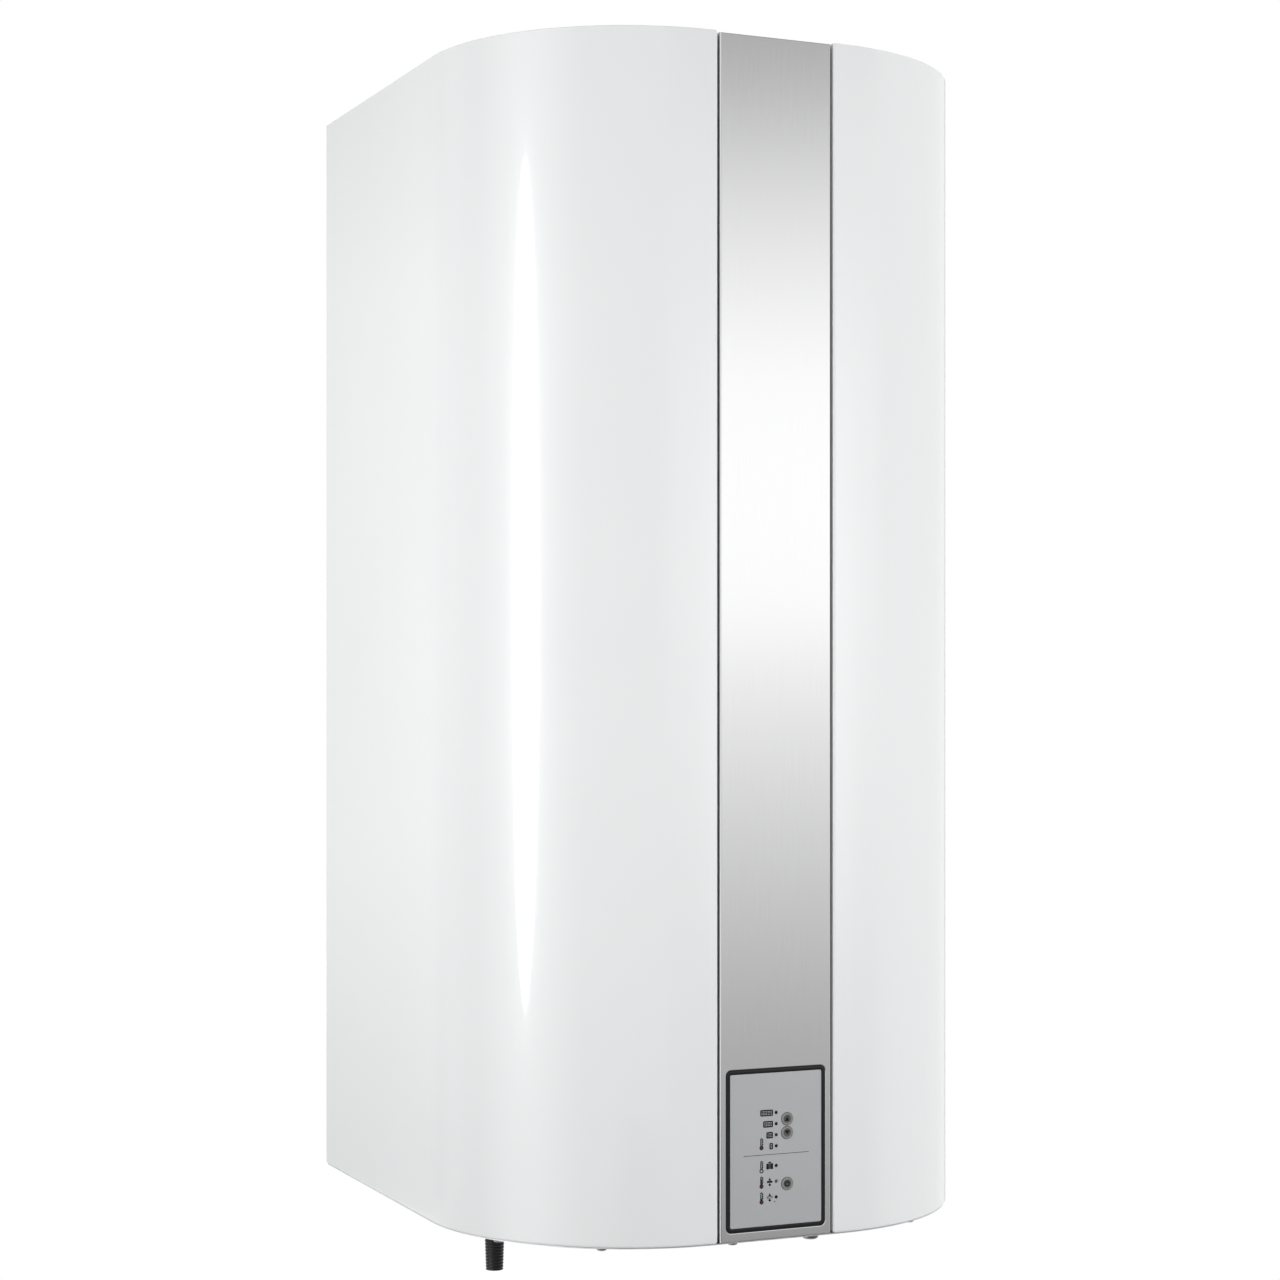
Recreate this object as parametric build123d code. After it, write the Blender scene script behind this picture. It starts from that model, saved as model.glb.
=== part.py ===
from build123d import *
import math
import os

# Wall-hung electric storage water heater. Millimetres; +X right seen from the front, -Y front, +Z up.
# Heights below are above the casing's lower edge and depths are from the wall plane, y = 0.
# The last step moves everything so that the origin is the middle of the wall rail's bolt pattern.

# Casing
CASE_W = 515.0
CASE_D = 525.0
CASE_H = 1075.0
SHEET = 1.0
SHEET_BEND = 1.8
WALL_GAP = 3.0
FIT = 0.3
BACK_RETURN = 18.0
BACK_RECESS = 24.0
PAN_MARGIN = 22.0
SHELL_FOOT = 30.0
TOP_INSET = 1.0
COVER_RIM = 20.0
LID_BORDER = 30.0
LID_PRESS = 3.0
COVER_INSET = 1.5
SWAGE_PITCH = 140.0
SWAGE_W = 34.0
SWAGE_PRESS = 4.0
SWAGE_SLOPE = 30.0
SWAGE_FOOT = 165.0
SWAGE_GAP = 60.0
BULKHEAD_RIM = 15.0
BULKHEAD_ROOM = 2.0

# Front strip and the groove that the shells leave for it
STRIP_W = 110.0
STRIP_RECESS = 1.0
STRIP_BEND = 1.8
STRIP_TAB_MARGIN = 7.0
STRIP_TAB_D = 30.0
GROOVE = 2.5
EDGE_BEND = 3.0
FRONT_FLAT = 2.0
FOLD_DEPTH = 14.0
CHANNEL_LIP = 10.0
CHANNEL_FOOT = 3.0

# Screws of the casing
SCREW_INSET = 10.0
SCREW_ANGLES = (30.0, 61.5)
SIDE_SCREW_REAR = 70.0
SCREW_HEAD_R = 4.8
SCREW_HEAD_H = 3.0
SCREW_R = 2.0
SCREW_LENGTH = 10.0
SCREW_PLAY = 0.2
HEAD_DOME = 0.7
RECESS_SLOT = 0.2
STRIP_SCREW_MARGIN = 16.0
STRIP_SCREW_HEAD_R = 7.5
STRIP_SCREW_HEAD_H = 3.8
BACK_SCREW_HEAD_R = 4.0
BACK_SCREW_HEAD_H = 2.2
BACK_SCREW_INSET = 9.0
BACK_SCREW_MARGIN = 60.0
BACK_SCREW_ROWS = 4

# Control panel
PANEL_MARGIN = 5.5
PANEL_FOOT = 8.0
PANEL_H = 144.6
PANEL_R = 5.0
GASKET_W = 3.4
GASKET_SINK = 0.4
GASKET_LIP = 3.0
GASKET_LIP_T = 2.0
GASKET_FIT = 0.1
FASCIA_FIT = 0.15
FASCIA_T = 2.0
FASCIA_R = 1.5
HOUSING_DEPTH = 36.0
HOUSING_WALL = 2.0
HOUSING_PLAY = 0.6
LUG_REACH = 10.0
LUG_H = 14.0
LUG_T = 3.0
LUG_INSET = 25.0
CABLE_HOLE_R = 4.2
CABLE_HOLE_X = 20.0
CABLE_HOLE_Z = 40.0
BOARD_DEPTH = 12.0
BOARD_T = 1.6
BOARD_GAP = 1.0
POST_R = 3.2
POST_INSET = 6.0
BOARD_SCREW_R = 1.2
BOARD_SCREW_HEAD_R = 2.6
BOARD_SCREW_HEAD_H = 1.8
BOARD_SCREW_LENGTH = 7.0
KEY_X = 11.0
KEY_HEIGHTS = {"up": 106.4, "down": 94.1, "mode": 48.3}
KEY_R = 5.5
KEY_PLAY = 0.2
KEY_PROUD = 0.8
KEY_DOME = 0.5
KEY_COLLAR_R = 6.0
KEY_COLLAR_T = 1.0
KEY_REST_GAP = 0.1
KEY_STEM_R = 2.0
KEY_TRAVEL = 0.6
SWITCH_W = 6.2
SWITCH_H = 3.8
PLUNGER_R = 1.7
PLUNGER_PLAY = 0.2
PLUNGER_IN = 1.5
LAMP_X = 0.2
LAMP_HEIGHTS = (112.8, 102.7, 92.8, 82.9, 65.3, 51.3, 37.2)
LAMP_R = 1.5
LAMP_PLAY = 0.1
PINHOLE_X = -1.2
PINHOLE_Z = 33.2
PINHOLE_R = 0.6

# Tank
SIDE_FOAM = 41.0
BACK_FOAM = 30.0
FRONT_FOAM = 24.0
TOP_FOAM = 44.0
TANK_RISE = 20.0
TANK_WALL = 2.0
CROWN_RATIO = 2.0
KNUCKLE_R = 43.0
FOAM_GAP = 0.3

# Tank neck, flange and what it carries
NECK_R = 60.0
NECK_WALL = 5.0
NECK_DROP = 20.0
NECK_REACH = 12.0
NECK_RING_R = 90.0
NECK_RING_T = 10.0
NECK_HOLE_PLAY = 5.0
GASKET_T = 3.0
FLANGE_T = 8.0
FLANGE_BOLTS = 8
FLANGE_BOLT_CIRCLE = 77.5
FLANGE_BOLT_R = 4.0
FLANGE_BOLT_FLATS = 13.0
FLANGE_BOLT_HEAD_H = 5.3
BOLT_PLAY = 0.3
ELEMENT_R = 4.1
ELEMENT_HALF = 18.0
ELEMENT_ROWS = (-20.0, 0.0, 20.0)
ELEMENT_LENGTH = 360.0
ELEMENT_TAIL = 7.0
TERMINAL_R = 1.8
TERMINAL_LENGTH = 14.0
TERMINAL_NUT_FLATS = 7.0
TERMINAL_NUT_T = 3.0
HOLE_PLAY = 0.1
ANODE_X = -38.0
ANODE_R = 11.0
ANODE_LENGTH = 400.0
ANODE_STUD_R = 4.0
ANODE_NUT_FLATS = 13.0
ANODE_NUT_T = 6.5
POCKET_X = 38.0
POCKET_Y = 12.0
POCKET_R = 5.0
POCKET_WALL = 1.0
POCKET_LENGTH = 290.0
POCKET_TAIL = 4.0
PROBE_R = 3.7
PROBE_LENGTH = 45.0
PROBE_STOP = 0.3

# Water pipes
PIPE_X = 75.0
PIPE_BACK = 130.0
PIPE_R = 11.0
PIPE_WALL = 1.5
COLD_RISE = 45.0
HOT_DROP = 60.0
PIPE_END = 18.0
NIPPLE_SPIGOT_R = 10.48
NIPPLE_SPIGOT_L = 18.0
NIPPLE_BORE_R = 7.5
NIPPLE_FLATS = 27.0
NIPPLE_HEX_H = 9.0
NIPPLE_FOOT = 46.0
NIPPLE_SOCKET_WALL = 1.7
DIFFUSER_R = 26.0
DIFFUSER_T = 3.0
DIFFUSER_LAP = 6.0
DIFFUSER_RIBS = 4
DIFFUSER_H = 14.0
GROMMET_WALL = 5.0
GROMMET_GRIP = 3.0
GROMMET_LIP = 2.0
GROMMET_FIT = 0.15
RING_WALL = 5.0
RING_T = 2.0
RING_GAP = 0.2

# Supply gland
GLAND_FROM_SIDE = 69.5
GLAND_FROM_FRONT = 215.0
GLAND_THREAD_R = 10.0
GLAND_BORE_R = 5.0
GLAND_FLATS = 24.0
GLAND_HEX_H = 6.0
GLAND_DOME_R = 11.4
GLAND_DOME_H = 14.0
GLAND_LOCKNUT_FLATS = 26.0
GLAND_LOCKNUT_T = 5.0
GLAND_LOCKNUT_RISE = 8.0
SLEEVE_TOP_R = 9.3
SLEEVE_END_R = 8.2
SLEEVE_END = 53.6
SLEEVE_LAP = 5.0
SLEEVE_RIBS = 11
SLEEVE_RIB_DEPTH = 0.35
SLEEVE_FIT = 0.1
SLEEVE_STEP = 1.0
RIB_LAND = 0.6
RIB_GROOVE = 0.8

# Electrical pieces under the bulkhead
BLOCK_GAP = 44.5
BLOCK_Y = -60.0
BLOCK_W = 66.0
BLOCK_D = 24.0
BLOCK_H = 22.0
BLOCK_POLES = 4
POLE_R = 4.0
POLE_DEPTH = 14.0
BLOCK_SLOT_W = 1.6
BLOCK_SLOT_H = 5.0
RELAY_GAP = 33.5
RELAY_Y = 70.0
RELAY_W = 92.0
RELAY_D = 62.0
RELAY_H = 34.0
RELAY_WALL = 2.0
RELAY_R = 4.0
LID_T = 2.5
CUTOUT_GAP = 69.5
CUTOUT_Y = -62.0
CUTOUT_W = 46.0
CUTOUT_D = 34.0
CUTOUT_H = 38.0
RESET_R = 3.0
RESET_COLLAR_R = 4.2
RESET_COLLAR_T = 1.0
RESET_OUT = 4.0
RESET_IN = 9.0
RESET_TRAVEL = 2.0
RESET_PLAY = 0.2
EARTH_X = -120.0
EARTH_Y = 60.0
EARTH_R = 3.0
EARTH_FLATS = 10.0
EARTH_LENGTH = 16.0
EARTH_NUT_T = 5.0

# Wires inside the wiring room
LEAD_R = 1.5
LEAD_BEND = 14.0
LEAD_PITCH = 9.0
ELEMENT_LEAD_Z = 80.0
SUPPLY_LEAD_Z = 66.0
CABLE_R = 2.6
CABLE_BEND = 24.0
CABLE_RUN = 50.0

# Wall fixing
RAIL_DROP = 170.0
RAIL_HALF = 180.0
RAIL_H = 80.0
RAIL_T = 3.0
RAIL_HOLE_X = 140.0
RAIL_HOLE_Z = 22.0
RAIL_HOLE_R = 4.5
RAIL_SHELF = 8.0
RAIL_LIP = 20.0
RAIL_CORNER = 6.0
PLATE_BEND = 1.5
HANGER_HALF = 110.0
HANGER_H = 70.0
HANGER_T = 3.0
HANGER_LIP = 16.0
HANGER_FIT = 0.3
TANK_LUG_X = 80.0
TANK_LUG_W = 40.0
TANK_LUG_T = 5.0
TANK_LUG_H = 80.0
HANGER_BOLT_PITCH = 34.0
HANGER_BOLT_R = 4.0
HANGER_BOLT_FLATS = 13.0
HANGER_BOLT_HEAD_H = 5.3
SPACER_X = 170.0
SPACER_Z = 95.0
SPACER_R = 16.0
SPACER_END_R = 13.0
SPACER_SINK = 9.0
SPACER_SCREW_HEAD_R = 5.5
SPACER_SCREW_HEAD_H = 3.5
SPACER_SCREW_R = 2.4

# Places worked out from the sizes above
HALF_W = CASE_W / 2
BACK_Y = -WALL_GAP
FRONT_Y = BACK_Y - CASE_D
STRIP_HALF = STRIP_W / 2
STRIP_Y = FRONT_Y + STRIP_RECESS
CHANNEL_HALF = STRIP_HALF + GROOVE
CHANNEL_OUT = CHANNEL_HALF + 2 * SHEET
WEB_Y = FRONT_Y + FOLD_DEPTH
WEB_BACK_Y = WEB_Y + SHEET
CORNER_R = HALF_W - CHANNEL_HALF - EDGE_BEND - FRONT_FLAT
TOP_Z = CASE_H - TOP_INSET
LID_Z = TOP_Z - SHEET
PAN_HALF = HALF_W - PAN_MARGIN
PAN_REAR_Y = BACK_Y - BACK_RECESS
PAN_FRONT_Y = PAN_REAR_Y - SHEET
GASKET_HALF = STRIP_HALF - PANEL_MARGIN
PANEL_TOP = PANEL_FOOT + PANEL_H
FASCIA_HALF = GASKET_HALF - GASKET_W
FASCIA_FOOT = PANEL_FOOT + GASKET_W
FASCIA_TOP = PANEL_TOP - GASKET_W
HOUSING_Y = STRIP_Y + FASCIA_T
HOUSING_BACK_Y = STRIP_Y + HOUSING_DEPTH
BOARD_Y = STRIP_Y + BOARD_DEPTH
SWITCH_Y = BOARD_Y - SWITCH_H
BULKHEAD_Z = FASCIA_TOP + BULKHEAD_ROOM
BULKHEAD_TOP = BULKHEAD_Z + SHEET
TANK_R = min(HALF_W - SHEET - SIDE_FOAM, (PAN_FRONT_Y - WEB_BACK_Y - BACK_FOAM - FRONT_FOAM) / 2)
TANK_Y = PAN_FRONT_Y - BACK_FOAM - TANK_R
TANK_FOOT = BULKHEAD_Z + TANK_RISE
TANK_TOP = CASE_H - TOP_FOAM
CROWN_R = CROWN_RATIO * TANK_R
NECK_FOOT = BULKHEAD_Z - NECK_DROP
FLANGE_TOP = NECK_FOOT - GASKET_T
FLANGE_FOOT = FLANGE_TOP - FLANGE_T
PIPE_Y = TANK_Y + PIPE_BACK
NIPPLE_SOCKET_R = PIPE_R + HOLE_PLAY + NIPPLE_SOCKET_WALL
GROMMET_HOLE_R = PIPE_R + GROMMET_WALL
GROMMET_R = GROMMET_HOLE_R + GROMMET_GRIP
RING_R = PIPE_R + RING_WALL
GLAND_Y = FRONT_Y + GLAND_FROM_FRONT
COVER_FOOT = -SHEET
RAIL_Z = CASE_H - RAIL_DROP
STRIP_SCREW_Y = FRONT_Y + SCREW_INSET
STRIP_SCREW_X = STRIP_HALF - STRIP_SCREW_MARGIN
STRIP_PIN_X = -STRIP_SCREW_X
STRIP_TAB_HALF = STRIP_HALF - STRIP_TAB_MARGIN
GLAND_X = GLAND_FROM_SIDE - HALF_W
BLOCK_X = BLOCK_GAP + BLOCK_W / 2 - HALF_W
BLOCK_FOOT = BULKHEAD_Z - BLOCK_H
RELAY_X = HALF_W - RELAY_GAP - RELAY_W / 2
RELAY_FOOT = BULKHEAD_Z - RELAY_H
CUTOUT_X = HALF_W - CUTOUT_GAP - CUTOUT_W / 2
CUTOUT_FOOT = BULKHEAD_Z - CUTOUT_H
TERMINAL_TOP = FLANGE_FOOT - ELEMENT_TAIL
TERMINAL_FOOT = TERMINAL_TOP - TERMINAL_LENGTH


def block(x0, x1, y0, y1, z0, z1):
    """A box between two corners."""
    return Pos((x0 + x1) / 2, (y0 + y1) / 2, (z0 + z1) / 2) * Box(x1 - x0, y1 - y0, z1 - z0)


def rod_y(x, z, y0, y1, radius):
    """A round bar that runs from front to back."""
    return Pos(x, (y0 + y1) / 2, z) * Rot(90, 0, 0) * Cylinder(radius, y1 - y0)


def rod_z(x, y, z0, z1, radius):
    """A round upright bar."""
    return Pos(x, y, (z0 + z1) / 2) * Cylinder(radius, z1 - z0)


def area(x0, x1, y0, y1):
    """A flat rectangle between two corners."""
    return Pos((x0 + x1) / 2, (y0 + y1) / 2) * Rectangle(x1 - x0, y1 - y0)


def upright(face, front_y, depth):
    """A front-view outline, x across and z up, made solid from front_y back by depth."""
    return Pos(0, front_y + depth, 0) * extrude(Plane.XZ * face, depth)


def turned(points):
    """A piece turned about the upright axis from its half section, radius against height."""
    return revolve(Plane.XZ * make_face(Polyline(*points, close=True)), Axis.Z)


def both_sides(piece):
    """A piece and its mirror image across the middle plane."""
    return [piece, mirror(piece, Plane.YZ)]


def group(pieces):
    """Separate solids that share one node."""
    return Compound([solid for piece in pieces for solid in piece.solids()])


def pan_screw(head_r, head_h, shank_r, length):
    """A cross-recess screw that points up, with its head's underside at height 0."""
    head = Pos(0, 0, -head_h / 2) * Cylinder(head_r, head_h)
    rim = head.edges().filter_by(GeomType.CIRCLE).sort_by(Axis.Z)[0]
    head = fillet(rim, head_h * HEAD_DOME)
    slot_w = head_r * RECESS_SLOT
    recess = Box(head_r, slot_w, head_h) + Box(slot_w, head_r, head_h)
    head -= Pos(0, 0, -head_h) * recess
    return head + Pos(0, 0, length / 2) * Cylinder(shank_r, length)


def hexagon(flats):
    """A hexagon by its width across the flats."""
    return RegularPolygon(flats / 2, 6, major_radius=False)


def hex_bolt(flats, head_h, shank_r, length):
    """A hexagon-head bolt that points up, with its head's underside at height 0."""
    head = Pos(0, 0, -head_h) * extrude(hexagon(flats), head_h)
    return head + Pos(0, 0, length / 2) * Cylinder(shank_r, length)


def hex_nut(flats, thickness, bore_r):
    """A nut that stands on height 0."""
    return extrude(hexagon(flats) - Circle(bore_r), thickness)


def case_face(inset, back):
    """The casing's D-shaped plan, drawn in from the shells' outside by inset, with its rear edge at back."""
    face = area(inset - HALF_W, HALF_W - inset, FRONT_Y + inset, back)
    return fillet(face.vertices().sort_by(Axis.Y)[:2], CORNER_R - inset)


def inside_face(gap):
    """Plan of the room inside the shells, clear of the channel in front and the back panel's pan."""
    room = case_face(SHEET + gap, BACK_Y - 2 * SHEET - gap)
    channel = area(-CHANNEL_OUT - gap, CHANNEL_OUT + gap, FRONT_Y, WEB_BACK_Y + gap)
    pan_side = PAN_HALF + SHEET + gap
    pan = area(-pan_side, pan_side, PAN_FRONT_Y - gap, 0)
    return room - channel - pan


def side_screw_places():
    """Where the right-hand shell's foot is screwed: two on the corner sweep and two on the flat side."""
    sweep_x = HALF_W - CORNER_R
    sweep_y = FRONT_Y + CORNER_R
    reach = CORNER_R - SCREW_INSET
    places = []
    for angle in SCREW_ANGLES:
        turn = math.radians(angle)
        places.append((sweep_x + reach * math.sin(turn), sweep_y - reach * math.cos(turn)))
    rear_y = BACK_Y - SIDE_SCREW_REAR
    for y in ((sweep_y + rear_y) / 2, rear_y):
        places.append((HALF_W - SCREW_INSET, y))
    return places


def back_screw_heights():
    """Heights of the screws that hold the back panel to the shells' rear returns."""
    step = (CASE_H - 2 * BACK_SCREW_MARGIN) / (BACK_SCREW_ROWS - 1)
    return [BACK_SCREW_MARGIN + row * step for row in range(BACK_SCREW_ROWS)]


def side_shell():
    """The right-hand shell: rear return, flat side, corner sweep, front edge folded in, and foot flange."""
    outside = FilletPolyline(
        (HALF_W - BACK_RETURN, BACK_Y),
        (HALF_W, BACK_Y),
        (HALF_W, FRONT_Y),
        (CHANNEL_HALF, FRONT_Y),
        (CHANNEL_HALF, WEB_Y),
        radius=[SHEET_BEND, CORNER_R, EDGE_BEND],
    )
    shell = extrude(make_face(outside.offset_2d(SHEET, side=Side.RIGHT)), CASE_H)
    foot = case_face(SHEET / 2, BACK_Y - SHEET / 2) - case_face(SHELL_FOOT, BACK_Y)
    foot &= area(CHANNEL_HALF + SHEET / 2, HALF_W, FRONT_Y, PAN_REAR_Y)
    shell += extrude(foot, SHEET)
    for x, y in side_screw_places():
        shell -= rod_z(x, y, 0, SHEET, SCREW_R + SCREW_PLAY)
    for height in back_screw_heights():
        shell -= rod_y(HALF_W - BACK_SCREW_INSET, height, BACK_Y - SHEET, BACK_Y, SCREW_R + SCREW_PLAY)
    return shell


def lid_field(inset, low, high):
    """Room of the lid's sunk field between two heights, drawn in from its edge by inset."""
    return Pos(0, 0, low) * extrude(inside_face(LID_BORDER + inset), high - low)


def top_cover():
    """Pressed lid that drops between the shells, its middle sunk to stiffen it."""
    plate = Pos(0, 0, LID_Z) * extrude(inside_face(FIT), SHEET)
    rim = inside_face(FIT) - inside_face(FIT + SHEET)
    plate += Pos(0, 0, LID_Z - COVER_RIM) * extrude(rim, COVER_RIM)
    plate += lid_field(0, LID_Z - LID_PRESS, LID_Z)
    return plate - lid_field(SHEET, LID_Z - LID_PRESS + SHEET, TOP_Z)


def swages(grow, depth):
    """Grooves pressed into the back panel from the wall side, grown by grow and sunk to depth."""
    top = RAIL_Z - RAIL_H / 2 - SWAGE_GAP
    length = top - SWAGE_FOOT + 2 * grow
    outline = Rot(0, 0, 90) * SlotOverall(length, SWAGE_W + 2 * grow)
    groove = extrude(outline, depth, taper=SWAGE_SLOPE)
    places = [-SWAGE_PITCH, 0, SWAGE_PITCH]
    return [Pos(x, PAN_REAR_Y, (SWAGE_FOOT + top) / 2) * Rot(90, 0, 0) * groove for x in places]


def bulkhead_plate():
    """Plate between the foamed tank and the wiring room, pierced for the neck and the pipes."""
    rim = inside_face(FIT) - inside_face(FIT + SHEET)
    rim -= area(-CHANNEL_OUT - 2 * SHEET, CHANNEL_OUT + 2 * SHEET, FRONT_Y, HOUSING_BACK_Y)
    plate = extrude(inside_face(FIT), SHEET) + Pos(0, 0, -BULKHEAD_RIM) * extrude(rim, BULKHEAD_RIM)
    plate = Pos(0, 0, BULKHEAD_Z) * plate
    plate -= rod_z(0, TANK_Y, BULKHEAD_Z, BULKHEAD_TOP, NECK_R + NECK_HOLE_PLAY)
    for side in (-1, 1):
        plate -= rod_z(side * PIPE_X, PIPE_Y, BULKHEAD_Z, BULKHEAD_TOP, PIPE_R + FIT)
    plate -= rod_z(EARTH_X, TANK_Y + EARTH_Y, BULKHEAD_Z, BULKHEAD_TOP, EARTH_R + HOLE_PLAY)
    return plate


def bottom_cover():
    """Flat cover under the wiring room, with the pipes', gland's and screws' holes."""
    face = case_face(COVER_INSET, BACK_Y - 2 * SHEET - FIT)
    face -= area(-PAN_HALF - SHEET - FIT, PAN_HALF + SHEET + FIT, PAN_FRONT_Y - FIT, 0)
    for side in (-1, 1):
        face -= Pos(side * PIPE_X, PIPE_Y) * Circle(GROMMET_HOLE_R)
        for x, y in side_screw_places():
            face -= Pos(side * x, y) * Circle(SCREW_R + SCREW_PLAY)
    for x in (STRIP_SCREW_X, STRIP_PIN_X):
        face -= Pos(x, STRIP_SCREW_Y) * Circle(SCREW_R + SCREW_PLAY)
    face -= Pos(GLAND_X, GLAND_Y) * Circle(GLAND_THREAD_R + SCREW_PLAY)
    return Pos(0, 0, COVER_FOOT) * extrude(face, SHEET)


def back_panel():
    """Recessed pan between the shells' rear returns."""
    edge = HALF_W - SHEET_BEND - FIT
    rear = BACK_Y - SHEET
    section = FilletPolyline(
        (edge, rear),
        (PAN_HALF, rear),
        (PAN_HALF, PAN_REAR_Y),
        (-PAN_HALF, PAN_REAR_Y),
        (-PAN_HALF, rear),
        (-edge, rear),
        radius=SHEET_BEND,
    )
    panel = Pos(0, 0, SHEET) * extrude(make_face(section.offset_2d(SHEET, side=Side.LEFT)), LID_Z - SHEET)
    for side in (-1, 1):
        x = side * (HALF_W - BACK_SCREW_INSET)
        for height in back_screw_heights():
            panel -= rod_y(x, height, rear - SHEET, rear, SCREW_R + HOLE_PLAY)
        for height in hanger_bolt_heights():
            panel -= rod_y(side * TANK_LUG_X, height, PAN_FRONT_Y, PAN_REAR_Y, HANGER_BOLT_R + BOLT_PLAY)
        panel -= rod_y(side * SPACER_X, SPACER_Z, PAN_FRONT_Y, PAN_REAR_Y, SPACER_SCREW_R + HOLE_PLAY)
    for outside in swages(SHEET, SWAGE_PRESS + SHEET):
        panel += outside
    for inside in swages(0, SWAGE_PRESS):
        panel -= inside
    return panel


def housing_screw_places():
    """Front-view places of the screws that hold the control housing to the channel."""
    x = FASCIA_HALF + LUG_REACH / 2
    return [(side * x, z) for side in (-1, 1) for z in (FASCIA_FOOT + LUG_INSET, FASCIA_TOP - LUG_INSET)]


def front_channel():
    """Channel behind the strip that takes the shells' folded edges between its lips."""
    section = area(-CHANNEL_OUT, CHANNEL_OUT, WEB_Y - CHANNEL_LIP, WEB_BACK_Y)
    section -= area(SHEET - CHANNEL_OUT, CHANNEL_OUT - SHEET, WEB_Y - CHANNEL_LIP, WEB_Y)
    channel = Pos(0, 0, CHANNEL_FOOT) * extrude(section, LID_Z - CHANNEL_FOOT)
    channel -= upright(panel_face(FASCIA_HALF + HOUSING_PLAY, HOUSING_PLAY), WEB_Y, SHEET)
    for x, z in housing_screw_places():
        channel -= rod_y(x, z, WEB_Y, WEB_BACK_Y, SCREW_R + HOLE_PLAY)
    return channel


def panel_face(half_width, grow=0.0, radius=FASCIA_R):
    """Front-view outline that follows the fascia's foot and top, grown at both by the same amount."""
    height = FASCIA_TOP - FASCIA_FOOT + 2 * grow
    return Pos(0, (FASCIA_FOOT + FASCIA_TOP) / 2) * RectangleRounded(2 * half_width, height, radius)


def front_strip():
    """Folded stainless tray over the channel, with the panel's cut-out and a screwed tab at its foot."""
    tray = block(-STRIP_HALF, STRIP_HALF, STRIP_Y, WEB_Y, 0, TOP_Z)
    front_edges = tray.faces().sort_by(Axis.Y)[0].edges()
    tray = fillet(front_edges, STRIP_BEND)
    inner = block(SHEET - STRIP_HALF, STRIP_HALF - SHEET, STRIP_Y + SHEET, WEB_Y, SHEET, LID_Z)
    inner_edges = inner.faces().sort_by(Axis.Y)[0].edges()
    tray -= fillet(inner_edges, STRIP_BEND - SHEET)
    tray += block(-STRIP_TAB_HALF, STRIP_TAB_HALF, WEB_Y, STRIP_Y + STRIP_TAB_D, 0, SHEET)
    tray -= upright(panel_face(GASKET_HALF, GASKET_W, PANEL_R), STRIP_Y, SHEET)
    for x in (STRIP_SCREW_X, STRIP_PIN_X):
        tray -= rod_z(x, STRIP_SCREW_Y, 0, SHEET, SCREW_R + HOLE_PLAY)
    return tray


def panel_gasket():
    """Rubber frame that fills the gap between strip and fascia and hooks behind the strip."""
    opening = panel_face(FASCIA_HALF + FASCIA_FIT, FASCIA_FIT)
    sight = panel_face(GASKET_HALF - GASKET_FIT, GASKET_W - GASKET_FIT, PANEL_R - GASKET_FIT)
    lip = panel_face(GASKET_HALF + GASKET_LIP, GASKET_W + GASKET_LIP, PANEL_R)
    frame = upright(sight - opening, STRIP_Y + GASKET_SINK, SHEET - GASKET_SINK)
    return frame + upright(lip - opening, STRIP_Y + SHEET, GASKET_LIP_T)


def control_fascia():
    """Panel front with holes for the keys, the lamps and the pin-hole."""
    face = panel_face(FASCIA_HALF)
    for height in KEY_HEIGHTS.values():
        face -= Pos(KEY_X, height) * Circle(KEY_R + KEY_PLAY)
    for height in LAMP_HEIGHTS:
        face -= Pos(LAMP_X, height) * Circle(LAMP_R + LAMP_PLAY)
    face -= Pos(PINHOLE_X, PINHOLE_Z) * Circle(PINHOLE_R)
    return upright(face, STRIP_Y, FASCIA_T)


def board_screw_places():
    """Front-view places of the control board's corner screws."""
    x = FASCIA_HALF - HOUSING_WALL - BOARD_GAP - POST_INSET
    inset = HOUSING_WALL + BOARD_GAP + POST_INSET
    return [(side * x, z) for side in (-1, 1) for z in (FASCIA_FOOT + inset, FASCIA_TOP - inset)]


def control_housing():
    """Box behind the fascia, with board posts and the lugs that bolt to the channel."""
    box = upright(panel_face(FASCIA_HALF), HOUSING_Y, HOUSING_BACK_Y - HOUSING_Y)
    room = panel_face(FASCIA_HALF - HOUSING_WALL, -HOUSING_WALL)
    box -= upright(room, HOUSING_Y, HOUSING_BACK_Y - HOUSING_WALL - HOUSING_Y)
    floor_y = HOUSING_BACK_Y - HOUSING_WALL
    for x, z in board_screw_places():
        box += rod_y(x, z, BOARD_Y + BOARD_T, floor_y + HOUSING_WALL / 2, POST_R)
    for x, z in board_screw_places():
        box -= rod_y(x, z, BOARD_Y, BOARD_Y + BOARD_SCREW_LENGTH, BOARD_SCREW_R + HOLE_PLAY)
    for x, z in housing_screw_places():
        side = math.copysign(1, x)
        reach = sorted((side * (FASCIA_HALF - HOUSING_WALL / 2), side * (FASCIA_HALF + LUG_REACH)))
        box += block(*reach, WEB_BACK_Y, WEB_BACK_Y + LUG_T, z - LUG_H / 2, z + LUG_H / 2)
        box -= rod_y(x, z, WEB_BACK_Y, WEB_BACK_Y + LUG_T, SCREW_R + SCREW_PLAY)
    box -= rod_y(CABLE_HOLE_X, CABLE_HOLE_Z, floor_y, HOUSING_BACK_Y, CABLE_HOLE_R)
    return box


def control_board():
    """Circuit board on the housing's posts."""
    inset = HOUSING_WALL + BOARD_GAP
    face = panel_face(FASCIA_HALF - inset, -inset)
    for x, z in board_screw_places():
        face -= Pos(x, z) * Circle(BOARD_SCREW_R + HOLE_PLAY)
    return upright(face, BOARD_Y, BOARD_T)


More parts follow.
